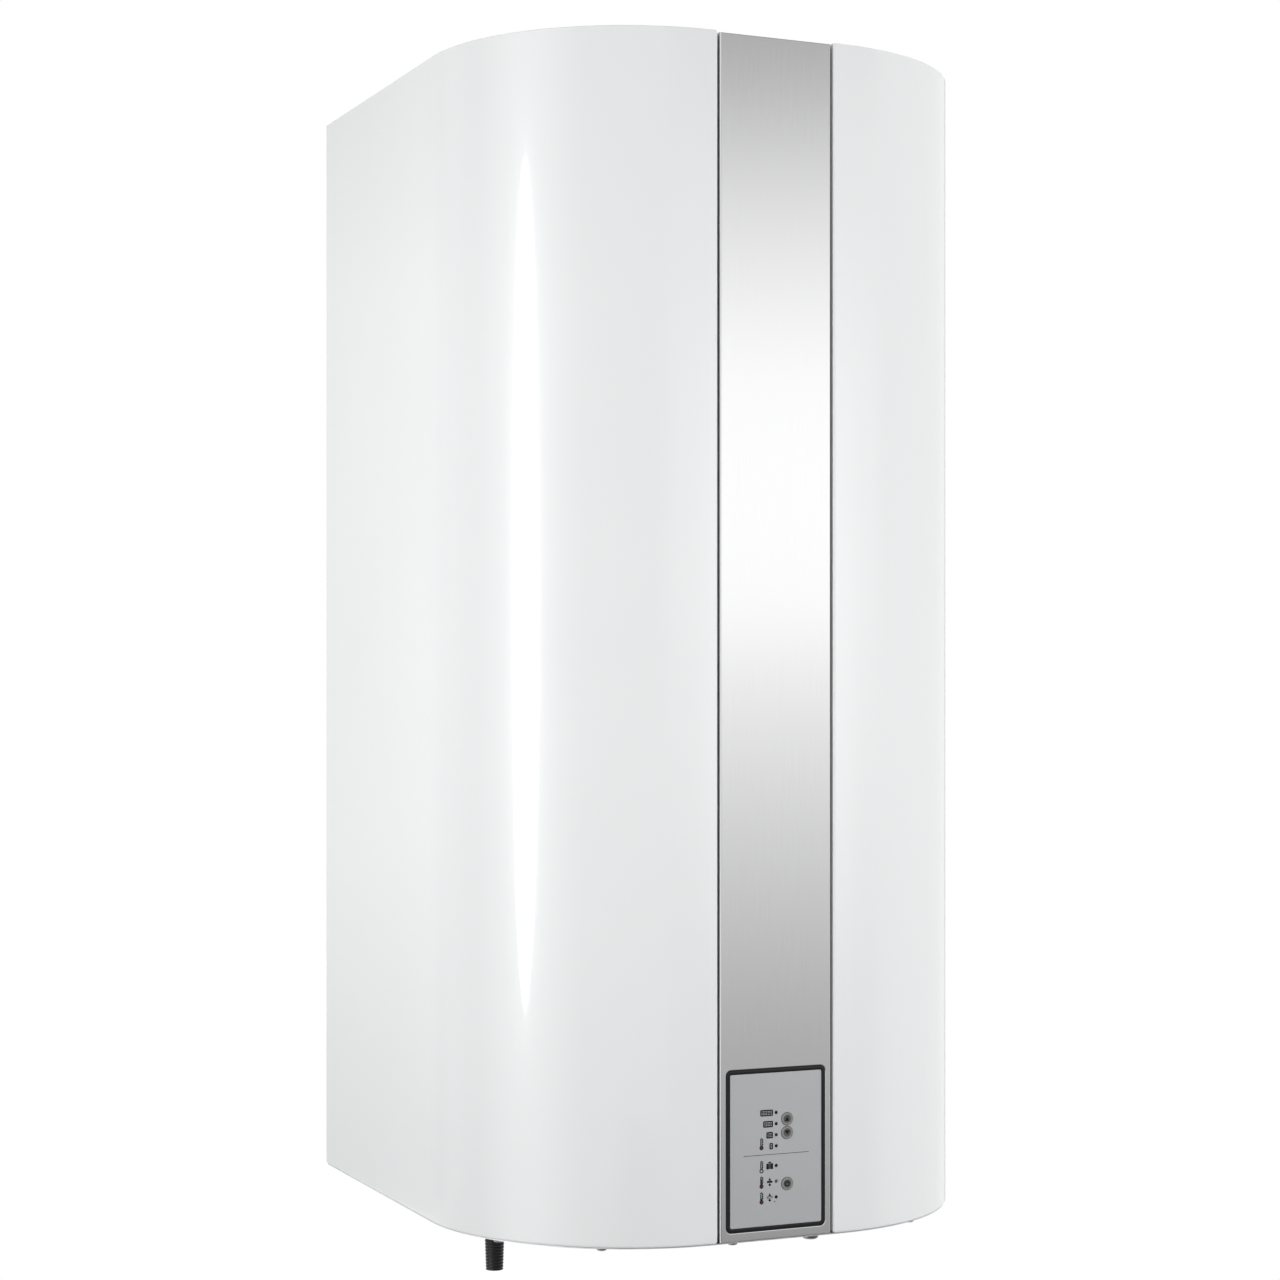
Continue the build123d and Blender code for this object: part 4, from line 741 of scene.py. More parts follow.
@dataclass
class Casing(Assembly):
    """White side shells folded from sheet, the stainless strip between them and the lid.

    Sizes are in millimetres.
    """

    half_width: float = 257.5
    front: float = -528.0
    rear: float = -3.0
    height: float = 1075.0
    sheet: float = 1.0
    edge: float = 0.3
    rear_return: float = 18.0
    rear_bend: float = 1.8
    corner: float = 195.0
    fold_x: float = 57.5
    fold_bend: float = 3.0
    fold_depth: float = 14.0
    rim_bend: float = 0.7
    foot: float = 30.0
    foot_bend: float = 2.2
    foot_rear: float = -27.0
    foot_start: float = 1.0
    wall_ease: float = 4.0
    strip_half: float = 55.5
    strip_front: float = -527.0
    strip_top: float = 1074.0
    strip_bend: float = 1.8
    strip_end_bend: float = 1.1
    strip_edge: float = 0.12
    tab_half: float = 48.0
    tab_depth: float = 30.0
    window_sides: Box = ((-49.5, 8.0), (49.5, 152.6))
    window_corner: float = 5.0
    window_flare: float = 0.85
    window_reach: float = 3.0
    lid_half: float = 256.2
    lid_front: float = -526.7
    lid_rear: float = -5.3
    lid_top: float = 1074.0
    lid_depth: float = 21.0
    lid_corner: float = 193.7
    channel_half: float = 59.8
    channel_back: float = -512.7
    pan_half: float = 236.8
    pan_front: float = -28.3
    field_half: float = 222.5
    field_front: float = -479.5
    field_rear: float = -62.0
    field_corner: float = 150.0
    field_rear_corner: float = 26.0
    field_depth: float = 3.0
    field_slope: float = 5.0
    slope_steps: int = 12

    def build(self) -> None:
        """Makes both shells, the strip and the lid."""
        for side, name in ((-1, "left_shell"), (1, "right_shell")):
            self.place(self.shell(side, name), name + "_sheet", "white_paint", stands_for=[name])
        strip = self.place(self.strip(), "front_strip_sheet", "stainless", stands_for=["front_strip"])
        self.deburr(strip, self.strip_edge)
        lid = self.place(self.lid(), "top_cover_lid", "white_paint", stands_for=["top_cover"])
        self.deburr(lid, self.edge)

    def wall(self, reach: float) -> list[Flat]:
        """Section through a shell's wall and its foot.

        Args:
            reach: How far in the foot goes.

        Returns:
            Closed section: distance in from the outside, against height.
        """
        top, bend, sheet, edge, rim = self.height, self.foot_bend, self.sheet, self.edge, self.rim_bend
        section = arc((rim, top - rim), rim, 90.0, 180.0, steps=4)
        section += [(0.0, top - self.wall_ease), (0.0, bend + self.wall_ease)]
        section += arc((bend, bend), bend, 180.0, 270.0, steps=5)
        section += [(reach, 0.0), (reach, sheet)]
        section += arc((bend, bend), bend - sheet, 270.0, 180.0, steps=5)
        return section + [(sheet, top - edge), (sheet - edge / 2, top)]

    def shell(self, side: int, name: str) -> Mesh:
        """One shell: rear return, flat side, corner sweep, front fold and foot.

        Args:
            side: 1 for the right-hand shell, -1 for the left.
            name: The mesh's name.

        Returns:
            The mesh.
        """
        route = (
            ((self.half_width - self.rear_return, self.rear), 0.0),
            ((self.half_width, self.rear), self.rear_bend),
            ((self.half_width, self.foot_rear + self.foot_start), 0.0),
            ((self.half_width, self.foot_rear), 0.0),
            ((self.half_width, self.front), self.corner),
            ((self.fold_x, self.front), self.fold_bend),
            ((self.fold_x, self.front + self.fold_depth), 0.0),
        )
        rings = []
        for (x, y), (nx, ny) in folded_path(route, step=1.5, ease=1.0):
            on_foot = y <= self.foot_rear and x >= self.half_width - self.corner - self.edge
            section = self.wall(self.foot if on_foot else self.foot_bend + self.edge)
            rings.append([(side * (x - nx * into), y - ny * into, z) for into, z in section])
        return Shape().loft(rings).mesh(name)

    def strip(self) -> Mesh:
        """The strip's folded tray with the panel's window and its screwed tab.

        Returns:
            The mesh.
        """
        front, bend, sheet = self.strip_front, self.strip_bend, self.sheet
        back = self.front + self.fold_depth
        depth = back - front
        flatter = self.strip_end_bend / bend
        outside = arc((bend, bend), bend, 270.0, 180.0, steps=10)
        inside = arc((bend, bend), bend - sheet, 180.0, 270.0, steps=6)
        section = [(inset, inset * flatter, along) for inset, along in outside]
        section += [(inset, inset, along) for inset, along in [(0.0, depth), (sheet, depth), *inside]]
        rings = []
        for inset, draw, along in section:
            x, y, low, high = self.strip_half - inset, front + along, draw, self.strip_top - draw
            rings.append([(-x, y, low), (x, y, low), (x, y, high), (-x, y, high)])
        half, tab_back = self.tab_half, front + self.tab_depth
        tab = [(-half, back), (half, back), (half, tab_back), (-half, tab_back)]
        tray = Shape().loft(rings).block(tab, 0.0, sheet)
        return cut(tray.mesh("front_strip"), self.window())

    def window(self) -> Mesh:
        """What is cut out of the strip for the panel, flared where the cut's edge is rounded over.

        Returns:
            The mesh.
        """
        flare, reach = self.window_flare, self.window_reach
        rounding = arc((flare, flare), flare, 270.0, 180.0, steps=5)
        rings = []
        for grow, along in [(flare, -reach), *rounding, (0.0, reach)]:
            outline = rounded_box(*self.window_sides, self.window_corner + grow, grow=grow)
            rings.append([(x, self.strip_front + along, z) for x, z in outline])
        return Shape().loft(rings).mesh("window")

    def lid_plan(self, inset: float) -> list[Flat]:
        """The lid's outline, clear of the channel in front and the back panel's pan.

        Args:
            inset: How far it is drawn in.

        Returns:
            The outline's points.
        """
        centre = (self.lid_half - self.lid_corner, self.lid_front + self.lid_corner)
        side, rear, pan = self.lid_half - inset, self.lid_rear - inset, self.pan_half + inset
        channel = self.channel_half + inset
        right = [(channel, self.channel_back + inset), (channel, self.lid_front + inset)]
        right += arc(centre, self.lid_corner - inset, 270.0, 360.0, steps=60)
        right += [(side, rear), (pan, rear), (pan, self.pan_front - inset)]
        return right + [(-x, y) for x, y in reversed(right)]

    def field_plan(self, grow: float) -> list[Flat]:
        """The outline of the lid's sunk field.

        Args:
            grow: How far it is drawn out.

        Returns:
            The outline's points.
        """
        half, rear, front = self.field_half, self.field_rear_corner, self.field_corner
        right = arc((half - rear, self.field_rear - rear), rear + grow, 90.0, 0.0, steps=40)
        right += arc((half - front, self.field_front + front), front + grow, 0.0, -90.0, steps=40)
        return right + [(-x, y) for x, y in reversed(right)]

    def lid(self) -> Mesh:
        """The pressed lid: a rim that drops between the shells, and a sunk field with drawn edges.

        Returns:
            The mesh.
        """
        top, foot, sheet, sunk = self.lid_top, self.lid_top - self.lid_depth, self.sheet, self.field_depth
        inner_plan = self.lid_plan(sheet)
        blank = Shape().block(self.lid_plan(0.0), foot, top)
        room = Shape().block(inner_plan, foot - sheet, top - sheet - sunk)
        border = Shape().block(inner_plan, top - 2 * sheet - sunk, top - sheet)
        island = Shape().block(self.field_plan(self.field_slope / 2 + sheet), foot, top)
        rings = []
        for step in range(self.slope_steps + 1):
            share = step / self.slope_steps
            height = top - sunk + sunk * (1 - math.cos(math.pi * share)) / 2
            rings.append([(x, y, height) for x, y in self.field_plan(self.field_slope * (share - 0.5))])
        rings.append([(x, y, top + sheet) for x, y, _ in rings[-1]])
        field = Shape().loft(rings)
        hollow = cut(border.mesh("lid_border"), island.mesh("lid_island"))
        return cut(blank.mesh("top_cover"), room.mesh("lid_room"), hollow, field.mesh("lid_field"))


class Ink(Shape):
    """A print: flat marks with the ink's own thickness."""

    def __init__(self, face: float, thickness: float = 0.05) -> None:
        """Starts an empty print.

        Args:
            face: Depth of the surface that it lies on.
            thickness: How far the ink stands proud.
        """
        super().__init__()
        self.face = face
        self.front = face - thickness

    def area(self, outline: Sequence[Flat]) -> None:
        """Prints a filled outline."""
        self.slab(outline, self.front, self.face)

    def bar(self, low: Flat, high: Flat) -> None:
        """Prints a filled rectangle."""
        self.area([low, (high[0], low[1]), high, (low[0], high[1])])

    def disc(self, centre: Flat, radius: float) -> None:
        """Prints a dot."""
        self.area(circle(centre, radius, steps=24))

    def ring(self, centre: Flat, radius: float, line: float) -> None:
        """Prints a circle's line, which lies inside its radius."""
        outer, inner = (circle(centre, size, steps=32) for size in (radius, radius - line))
        self.hoop(outer, inner, self.front, self.face)

    def box(self, low: Flat, high: Flat, radius: float, line: float) -> None:
        """Prints a rounded rectangle's line, which lies inside its corners."""
        outer, inner = (rounded_box(low, high, radius - inset, 4, -inset) for inset in (0.0, line))
        self.hoop(outer, inner, self.front, self.face)

    def triangle(self, centre: Flat, half: float, rise: float) -> None:
        """Prints a triangle on a base of twice the half; a negative rise points it down."""
        x, z = centre
        self.area([(x - half, z - rise / 2), (x + half, z - rise / 2), (x, z + rise / 2)])


@dataclass
class ControlPanel(Assembly):
    """Fascia with its rubber frame, keys and lamps. Sizes in millimetres.

    Profiles give a radius, or the crown's share of the way in, against depth from the fascia's face.
    """

    front: float = -527.0
    thickness: float = 2.0
    sides: Box = ((-46.1, 11.4), (46.1, 149.2))
    corner: float = 1.5
    edge: float = 0.2
    rubber_sides: Box = ((-49.4, 8.1), (49.4, 152.5))
    rubber_corner: float = 4.9
    rubber_play: float = 0.15
    rubber_lap: float = 0.7
    rubber_lip: float = 3.0
    lip_front: float = 1.0
    lip_back: float = 3.0
    key_x: float = 11.0
    key_r: float = 5.5
    key_play: float = 0.2
    arrow_half: float = 2.4
    arrow_rise: float = 3.9
    power_r: float = 2.55
    power_inner_r: float = 1.45
    power_bar_half: float = 0.45
    power_bar_foot: float = 0.2
    lamp_x: float = 0.2
    lamp_r: float = 1.5
    lamp_play: float = 0.1
    pin_x: float = -1.2
    pin_z: float = 33.2
    pin_r: float = 0.6

    KEYS = ((Body.UP, "up_button", 106.4, Symbol.UP), (Body.DOWN, "down_button", 94.1, Symbol.DOWN),
            (Body.MODE, "mode_button", 48.3, Symbol.POWER))
    LAMPS = (112.8, 102.7, 92.8, 82.9, 65.3, 51.3, 37.2)
    CLEAR_LAMP = 51.3
    RUBBER_CROWN = ((0.0, 0.5), (0.05, 0.1), (0.16, -0.16), (0.34, -0.32), (0.5, -0.36), (0.68, -0.32),
                    (0.84, -0.2), (0.95, -0.06), (1.0, 0.02))
    CAP = ((0.0, 0.05), (3.6, 0.05), (3.6, -0.45), (3.65, -0.6), (3.8, -0.76), (4.05, -0.8), (5.0, -0.74),
           (5.3, -0.64), (5.45, -0.48), (5.5, -0.25), (5.5, 2.1), (6.0, 2.1), (6.0, 3.1), (2.0, 3.1),
           (2.0, 7.5), (1.7, 7.5), (1.7, 9.7), (0.0, 9.7))
    DISC = ((0.0, -0.35), (3.05, -0.35), (3.16, -0.38), (3.3, -0.48), (3.45, -0.53), (3.58, -0.43),
            (3.58, 0.05), (0.0, 0.05))
    LAMP = ((0.0, -0.22), (0.6, -0.18), (1.1, -0.06), (1.4, 0.14), (1.5, 0.4), (1.5, 12.0), (0.0, 12.0))
    PIN = ((0.0, 0.25), (0.6, 0.3), (0.6, 2.0), (0.0, 2.0))
    POWER_SWEEP = (116.0, 424.0)
    KEY_STEPS = 64
    LAMP_STEPS = 32
    PIN_STEPS = 24

    def build(self) -> None:
        """Makes every piece of the panel."""
        self.place(self.rubber_frame(), "panel_rubber_frame", "black_rubber", stands_for=["panel_gasket"])
        self.place(self.fascia(), "panel_fascia", "silver_panel", stands_for=["control_fascia"])
        for body, node, height, symbol in self.KEYS:
            self.key(body, node, height, symbol)
        self.lamps()

    def rubber_frame(self) -> Mesh:
        """The bead round the fascia: it laps the fascia's edge, and its lip hooks behind the strip.

        Returns:
            The mesh.
        """
        outer, lip = (rounded_box(*self.rubber_sides, self.rubber_corner, 6, grow)
                      for grow in (0.0, self.rubber_lip))
        inner, lap = (rounded_box(*self.sides, self.corner, 6, grow)
                      for grow in (self.rubber_play, -self.rubber_lap))
        rings = []
        for share, sink in self.RUBBER_CROWN:
            rings.append([(xo + (xi - xo) * share, self.front + sink, zo + (zi - zo) * share)
                          for (xo, zo), (xi, zi) in zip(outer, lap)])
        front, back = self.lip_front, self.lip_back
        for line, depth in ((inner, self.RUBBER_CROWN[-1][1]), (inner, back), (lip, back), (lip, front),
                            (outer, front)):
            rings.append([(x, self.front + depth, z) for x, z in line])
        return Shape().loft(rings, loop=True).mesh("rubber_frame")

    def fascia(self) -> Mesh:
        """The plate with holes for keys, lamps and the pin.

        Returns:
            The mesh.
        """
        soft = self.edge
        outlines = [rounded_box(*self.sides, self.corner - soft, grow=-soft)]
        key_hole = self.key_r + self.key_play + soft
        outlines += [circle((self.key_x, height), key_hole) for _, _, height, _ in self.KEYS]
        lamp_hole = self.lamp_r + self.lamp_play + soft / 4
        outlines += [circle((self.lamp_x, height), lamp_hole, self.LAMP_STEPS) for height in self.LAMPS]
        outlines.append(circle((self.pin_x, self.pin_z), self.pin_r + soft / 4, self.PIN_STEPS))
        return pierced_plate(outlines, self.front, self.front + self.thickness, soft / 2)

    def key(self, body: Body, node: str, height: float, symbol: Symbol) -> None:
        """One key: cap with collar and stem, dished disc and its symbol.

        Args:
            body: The body that it rides on.
            node: The CAD node that it replaces.
            height: Its height.
            symbol: What is printed on it.
        """
        centre = (self.key_x, height)
        for part, profile, finish, stands_for in (("_cap", self.CAP, "key_grey", [node]),
                                                  ("_disc", self.DISC, "key_disc", [])):
            rings = turned(profile, centre, Axis.FRONT, self.front, self.KEY_STEPS)
            self.place(Shape().loft(rings).mesh(node), node + part, finish, body, stands_for, "key_grey")
        mark = Ink(self.front + self.DISC[0][1])
        if symbol is Symbol.POWER:
            start, end = self.POWER_SWEEP
            outer = arc(centre, self.power_r, start, end, steps=28)
            mark.area(outer + arc(centre, self.power_inner_r, end, start, steps=28))
            mark.bar((self.key_x - self.power_bar_half, height + self.power_bar_foot),
                     (self.key_x + self.power_bar_half, height + self.power_r))
        else:
            rise = self.arrow_rise if symbol is Symbol.UP else -self.arrow_rise
            mark.triangle(centre, self.arrow_half, rise)
        self.place(mark.mesh(node), node + "_symbol", "ink_dark", body, slot="")

    def lamps(self) -> None:
        """Domed light pipes from the board to the fascia, and the sensor behind the pinhole."""
        dark, clear = Shape(), Shape()
        for height in self.LAMPS:
            shape = clear if height == self.CLEAR_LAMP else dark
            shape.loft(turned(self.LAMP, (self.lamp_x, height), Axis.FRONT, self.front, self.LAMP_STEPS))
        dark.loft(turned(self.PIN, (self.pin_x, self.pin_z), Axis.FRONT, self.front, self.PIN_STEPS))
        self.place(dark.mesh("lamps"), "indicator_lamps", "lamp_dark", stands_for=["indicator_lenses"])
        self.place(clear.mesh("lamp"), "indicator_lamp_clear", "lamp_clear", slot="lamp_dark")


@dataclass
class PanelPrint(Assembly):
    """The marks that are printed on the fascia. Sizes in millimetres."""

    panel: ControlPanel
    rim_r: float = 6.12
    bar_right: float = -3.0
    bar_half: float = 2.9
    bar_corner: float = 1.1
    bar_line: float = 1.2
    cell_half_line: float = 0.3
    cell_row: float = 0.62
    gauge_x: float = -14.5
    gauge_half: float = 1.2
    gauge_corner: float = 1.15
    gauge_bulb: float = 2.0
    gauge_line: float = 0.95
    tick_first: float = 1.8
    tick_step: float = 1.9
    tick_length: float = 0.8
    tick_line: float = 0.7
    mark_x: float = -6.3
    case_z: float = 65.3
    case_corner: float = 0.6
    handle_corner: float = 0.7
    handle_line: float = 0.69
    arrow_z: float = 2.5
    arrow_half: float = 1.5
    arrow_rise: float = 2.5
    dot_z: float = -2.6
    dot_r: float = 1.15
    pill_corner: float = 0.94
    pill_line: float = 0.55

    BARS = ((112.8, -15.8, 6), (102.7, -12.9, 4), (92.8, -9.7, 3), (82.9, -6.6, 0))
    GAUGES = ((79.9, 90.6, 0.15), (59.2, 70.3, 0.0), (45.5, 56.4, 0.75), (31.5, 42.4, 0.3))
    MODE_MARKS = ((51.1, False), (37.3, True))
    DIVIDER = ((-32.4, 75.27), (32.8, 75.78))
    CASE_ENDS = (((-3.35, -2.9), (-1.15, 2.3)), ((1.15, -2.9), (3.35, 2.3)))
    CASE_MIDDLE = ((-1.15, -2.7), (1.15, 2.1))
    CASE_HANDLE = ((-1.5, 2.3), (1.5, 3.7))
    PILL = ((-2.9, -0.95), (2.9, 0.95))

    def build(self) -> None:
        """Prints heat bars, thermometers, key rims, divider and the small mode marks."""
        panel = self.panel
        dark, pale, red, rims = (Ink(panel.front) for _ in range(4))
        for height, left, columns in self.BARS:
            self.heat_bar(dark, height, left, columns)
        for low, high, fill in self.GAUGES:
            self.gauge((dark, red), low, high, fill)
        for _, _, height, _ in panel.KEYS:
            rims.ring((panel.key_x, height), self.rim_r, self.rim_r - panel.key_r - 2 * panel.key_play)
        pale.bar(*self.DIVIDER)
        self.holiday_case((dark, pale))
        for height, hollow in self.MODE_MARKS:
            self.mode_mark(dark, height, hollow)
        for ink, name in ((dark, "ink_dark"), (pale, "ink_grey"), (red, "ink_red")):
            self.place(ink.mesh(name), "panel_print_" + name, name, slot="")
        self.place(rims.mesh("rims"), "panel_print_key_rims", "key_grey")

    def heat_bar(self, dark: Ink, height: float, left: float, columns: int) -> None:
        """A row of cells that stands for the heating power.

        Args:
            dark: Its ink.
            height: Height of its middle.
            left: Its left end.
            columns: Number of lines between its cells.
        """
        right, half, line, thin = self.bar_right, self.bar_half, self.bar_line, self.cell_half_line
        dark.box((left, height - half), (right, height + half), self.bar_corner, line)
        step = (right - left - line) / (columns + 1)
        for column in range(1, columns + 1):
            x = left + line / 2 + column * step
            dark.bar((x - thin, height - half + line), (x + thin, height + half - line))
        for row in (-self.cell_row, self.cell_row):
            dark.bar((left + line, height + row - thin), (right - line, height + row + thin))

    def gauge(self, inks: tuple[Ink, Ink], low: float, high: float, fill: float) -> None:
        """A thermometer.

        Args:
            inks: The inks of its outline, and of its bulb and column.
            low: Height of its bulb's foot.
            high: Height of its top.
            fill: How far its column rises, from 0 to 1.
        """
        dark, red = inks
        x, bulb, half, line = self.gauge_x, self.gauge_bulb, self.gauge_half, self.gauge_line
        middle = low + bulb
        neck = middle + bulb - line
        dark.ring((x, middle), bulb, line)
        dark.box((x - half, neck), (x + half, high), self.gauge_corner, line)
        for step in range(3):
            z = neck + self.tick_first + self.tick_step * step
            dark.bar((x + half, z), (x + half + self.tick_length, z + self.tick_line))
        if fill:
            red.disc((x, middle), bulb - line)
            red.bar((x + line - half, neck), (x + half - line, neck + fill * (high - line - neck)))

    def holiday_case(self, inks: tuple[Ink, Ink]) -> None:
        """A travel case, which marks the lowered holiday setting.

        Args:
            inks: The inks of its ends and handle, and of its middle.
        """
        dark, pale = inks
        centre = (self.mark_x, self.case_z)
        for end in self.CASE_ENDS:
            dark.area(rounded_box(*moved(end, centre), self.case_corner, 3))
        pale.bar(*moved(self.CASE_MIDDLE, centre))
        dark.box(*moved(self.CASE_HANDLE, centre), self.handle_corner, self.handle_line)

    def mode_mark(self, dark: Ink, height: float, hollow: bool) -> None:
        """An arrow over a bar over a dot.

        Args:
            dark: Its ink.
            height: Height of its middle.
            hollow: True for a bar that is only its outline.
        """
        x = self.mark_x
        dark.triangle((x, height + self.arrow_z), self.arrow_half, self.arrow_rise)
        dark.disc((x, height + self.dot_z), self.dot_r)
        pill = moved(self.PILL, (x, height))
        if hollow:
            dark.box(*pill, self.pill_corner, self.pill_line)
        else:
            dark.area(rounded_box(*pill, self.pill_corner, 3))


@dataclass
class Underside(Assembly):
    """Threaded water connections and the supply gland. Sizes in millimetres.

    Profiles give radius against height.
    """

    pipe_x: float = 75.0
    pipe_y: float = -143.5
    nipple_foot: float = -46.0
    spigot: float = 18.0
    spigot_r: float = 10.48
    bore_r: float = 7.5
    lead_in: float = 1.2
    thread_pitch: float = 1.814
    thread_depth: float = 0.95
    thread_steps: int = 84
    hex_flats: float = 27.0
    hex_top: float = -19.0
    hex_chamfer: float = 1.2
    hex_face_inset: float = 0.3
    gland_x: float = -188.0
    gland_y: float = -313.0
    gland_flats: float = 24.0
    gland_hex_foot: float = -7.0
    gland_hex_top: float = -1.0
    sleeve_top: float = -21.0
    sleeve_foot: float = -53.6
    sleeve_top_r: float = 9.3
    sleeve_foot_r: float = 8.2
    sleeve_ribs: int = 11
    rib_steps: int = 8
    rib_groove: float = 0.55

    SOCKET = ((12.8, -19.0), (12.8, -9.4), (12.4, -9.0), (11.1, -9.0), (11.1, -18.0), (7.5, -18.0))
    SLEEVE_NECK = ((5.0, -16.0), (8.3, -16.0), (8.3, -21.0))
    SLEEVE_MOUTH = ((5.5, -53.6), (5.0, -53.0))
    GLAND_CAP = ((5.0, -16.0), (8.4, -16.0), (8.4, -21.0), (9.5, -21.0), (10.6, -20.4), (11.2, -19.2),
                 (11.4, -17.6), (11.4, -8.0), (11.0, -7.0))
    GLAND_THREAD = ((10.0, -1.0), (10.0, 7.4), (9.4, 8.0), (5.0, 8.0))

    def build(self) -> None:
        """Makes both nipples, the gland and its sleeve."""
        for x, node in ((self.pipe_x, "cold_nipple"), (-self.pipe_x, "hot_nipple")):
            self.place(self.nipple(x, node), node + "_threaded", "brass", stands_for=[node])
        self.place(self.sleeve(), "gland_sleeve_ribbed", "black_rubber", stands_for=["gland_sleeve"])
        self.place(self.gland(), "gland_cap", "black_plastic", stands_for=["cable_gland"])

    def hexagon(self, centre: Flat, flats: float, low: float, high: float) -> list[Ring]:
        """Rings of a chamfered hexagon, upwards.

        Args:
            centre: Its axis.
            flats: Width across the flats.
            low: Height of its foot.
            high: Height of its top.

        Returns:
            The rings.
        """
        sixth = math.pi / 3
        bearings = [(2 * math.pi * step / ROUND + sixth / 2) % sixth - sixth / 2 for step in range(ROUND)]
        corner, face, chamfer = flats / math.sqrt(3.0), flats / 2 - self.hex_face_inset, self.hex_chamfer
        rings = []
        for limit, z in ((face, low), (corner, low + chamfer), (corner, high - chamfer), (face, high)):
            radii = [min(flats / 2 / math.cos(bearing), limit) for bearing in bearings]
            rings.append(level_ring(centre, z, radii))
        return rings

    def thread(self, along: float) -> list[float]:
        """The threaded spigot's radii round its axis.

        Args:
            along: Distance from the spigot's foot.

        Returns:
            A radius for each step round the axis.
        """
        radii = []
        for step in range(ROUND):
            phase = (along / self.thread_pitch - step / ROUND) % 1.0
            depth = self.thread_depth * abs(2 * phase - 1)
            radii.append(self.spigot_r - depth - max(0.0, self.lead_in - along) * (1 - depth))
        return radii

    def nipple(self, x: float, name: str) -> Mesh:
        """A brass end: threaded spigot, hexagon and the socket on the pipe.

        Args:
            x: Where it stands.
            name: The mesh's name.

        Returns:
            The mesh.
        """
        centre, foot = (x, self.pipe_y), self.nipple_foot
        hex_foot = foot + self.spigot
        rings = turned(((self.bore_r, foot), (self.spigot_r - self.lead_in, foot)), centre, Axis.UP)
        for step in range(1, self.thread_steps):
            along = self.spigot * step / self.thread_steps
            rings.append(level_ring(centre, foot + along, self.thread(along)))
        rings += turned([(self.spigot_r - self.thread_depth, hex_foot)], centre, Axis.UP)
        rings += self.hexagon(centre, self.hex_flats, hex_foot, self.hex_top)
        rings += turned(self.SOCKET, centre, Axis.UP)
        return Shape().loft(rings, loop=True).mesh(name)

    def sleeve(self) -> Mesh:
        """The tapered bend relief with rounded ribs, open at both ends.

        Returns:
            The mesh.
        """
        top, foot = self.sleeve_top, self.sleeve_foot
        steps = self.sleeve_ribs * self.rib_steps
        ribs = []
        for step in range(steps + 1):
            share = step / steps
            radius = self.sleeve_top_r + (self.sleeve_foot_r - self.sleeve_top_r) * share
            wave = 0.5 - 0.5 * math.cos(2 * math.pi * step / self.rib_steps)
            ribs.append((radius - self.rib_groove * wave ** 2, top - share * (top - foot)))
        profile = (*self.SLEEVE_NECK, *ribs, *self.SLEEVE_MOUTH)
        rings = turned(profile, (self.gland_x, self.gland_y), Axis.UP)
        return Shape().loft(rings, loop=True).mesh("sleeve")

    def gland(self) -> Mesh:
        """The gland: thread above the cover, hexagon, and the domed cap that holds the sleeve.

        Returns:
            The mesh.
        """
        centre = (self.gland_x, self.gland_y)
        rings = turned(self.GLAND_CAP, centre, Axis.UP)
        rings += self.hexagon(centre, self.gland_flats, self.gland_hex_foot, self.gland_hex_top)
        rings += turned(self.GLAND_THREAD, centre, Axis.UP)
        return Shape().loft(rings, loop=True).mesh("gland")


@dataclass
class CarriedNodes(Assembly):
    """The CAD nodes whose shapes are kept and only get their finish."""

    OWN = {"bottom_screws": "screw_nickel", "strip_screw": "screw_nickel"}

    def dress(self, nodes: dict[str, Piece]) -> None:
        """Gives every node its own finish, or the one that its slot names.

        Args:
            nodes: The frame's nodes by name.
        """
        for name, node in nodes.items():
            slot = node.material_slots[0].material.name.split(".")[0]
            finish = self.OWN.get(name, slot)
            for holder in node.material_slots:
                holder.material = self.palette.material(finish)
            LOG.info("%s: carried over, %s", name, finish)


@dataclass(frozen=True)
class Card:
    """A reflector that only glossy surfaces show.

    Sizes are in metres, bearing in degrees from the front to the right. Stops give its tone from its foot
    to its top, and fade the share of its half width that melts away.
    """

    name: str
    place: Point
    bearing: float
    half: float
    rise: float
    level: float
    stops: tuple[Flat, ...]
    fade: float = 0.1
    tilt: float = 0.0

    HIDDEN_FROM = ("camera", "diffuse", "transmission", "volume_scatter", "shadow")

    def build(self) -> None:
        """Hangs the card and lights it."""
        mesh = bpy.data.meshes.new(self.name)
        half, rise = self.half, self.rise
        places = [(-half, 0.0, -rise), (half, 0.0, -rise), (half, 0.0, rise), (-half, 0.0, rise)]
        mesh.from_pydata(places, [], [(0, 1, 2, 3)])
        card = link_object(self.name, mesh)
        card.location = self.place
        card.rotation_euler = (math.radians(self.tilt), 0.0, math.radians(self.bearing))
        for ray in self.HIDDEN_FROM:
            setattr(card, "visible_" + ray, False)
        mesh.materials.append(self.light())

    def light(self) -> Material:
        """Tones up its height, melting away at its sides.

        Returns:
            The material.
        """
        material = bpy.data.materials.new(self.name)
        graph = Graph(material)
        axes = graph.add("SeparateXYZ", graph.add("TexCoord").outputs["Object"]).outputs
        height = graph.stretch(axes["Z"], (-self.rise, self.rise), NONE_TO_ALL)
        tone = graph.ramp(height, [(place, grey(level)) for place, level in self.stops])
        light = graph.add("Emission", tone, Strength=self.level)
        across = graph.add("Math", axes["X"], operation="ABSOLUTE").outputs[0]
        gone = graph.stretch(across, (self.half * (1 - self.fade), self.half), NONE_TO_ALL)
        graph.fade(gone, light, graph.add("BsdfTransparent"))
        return material


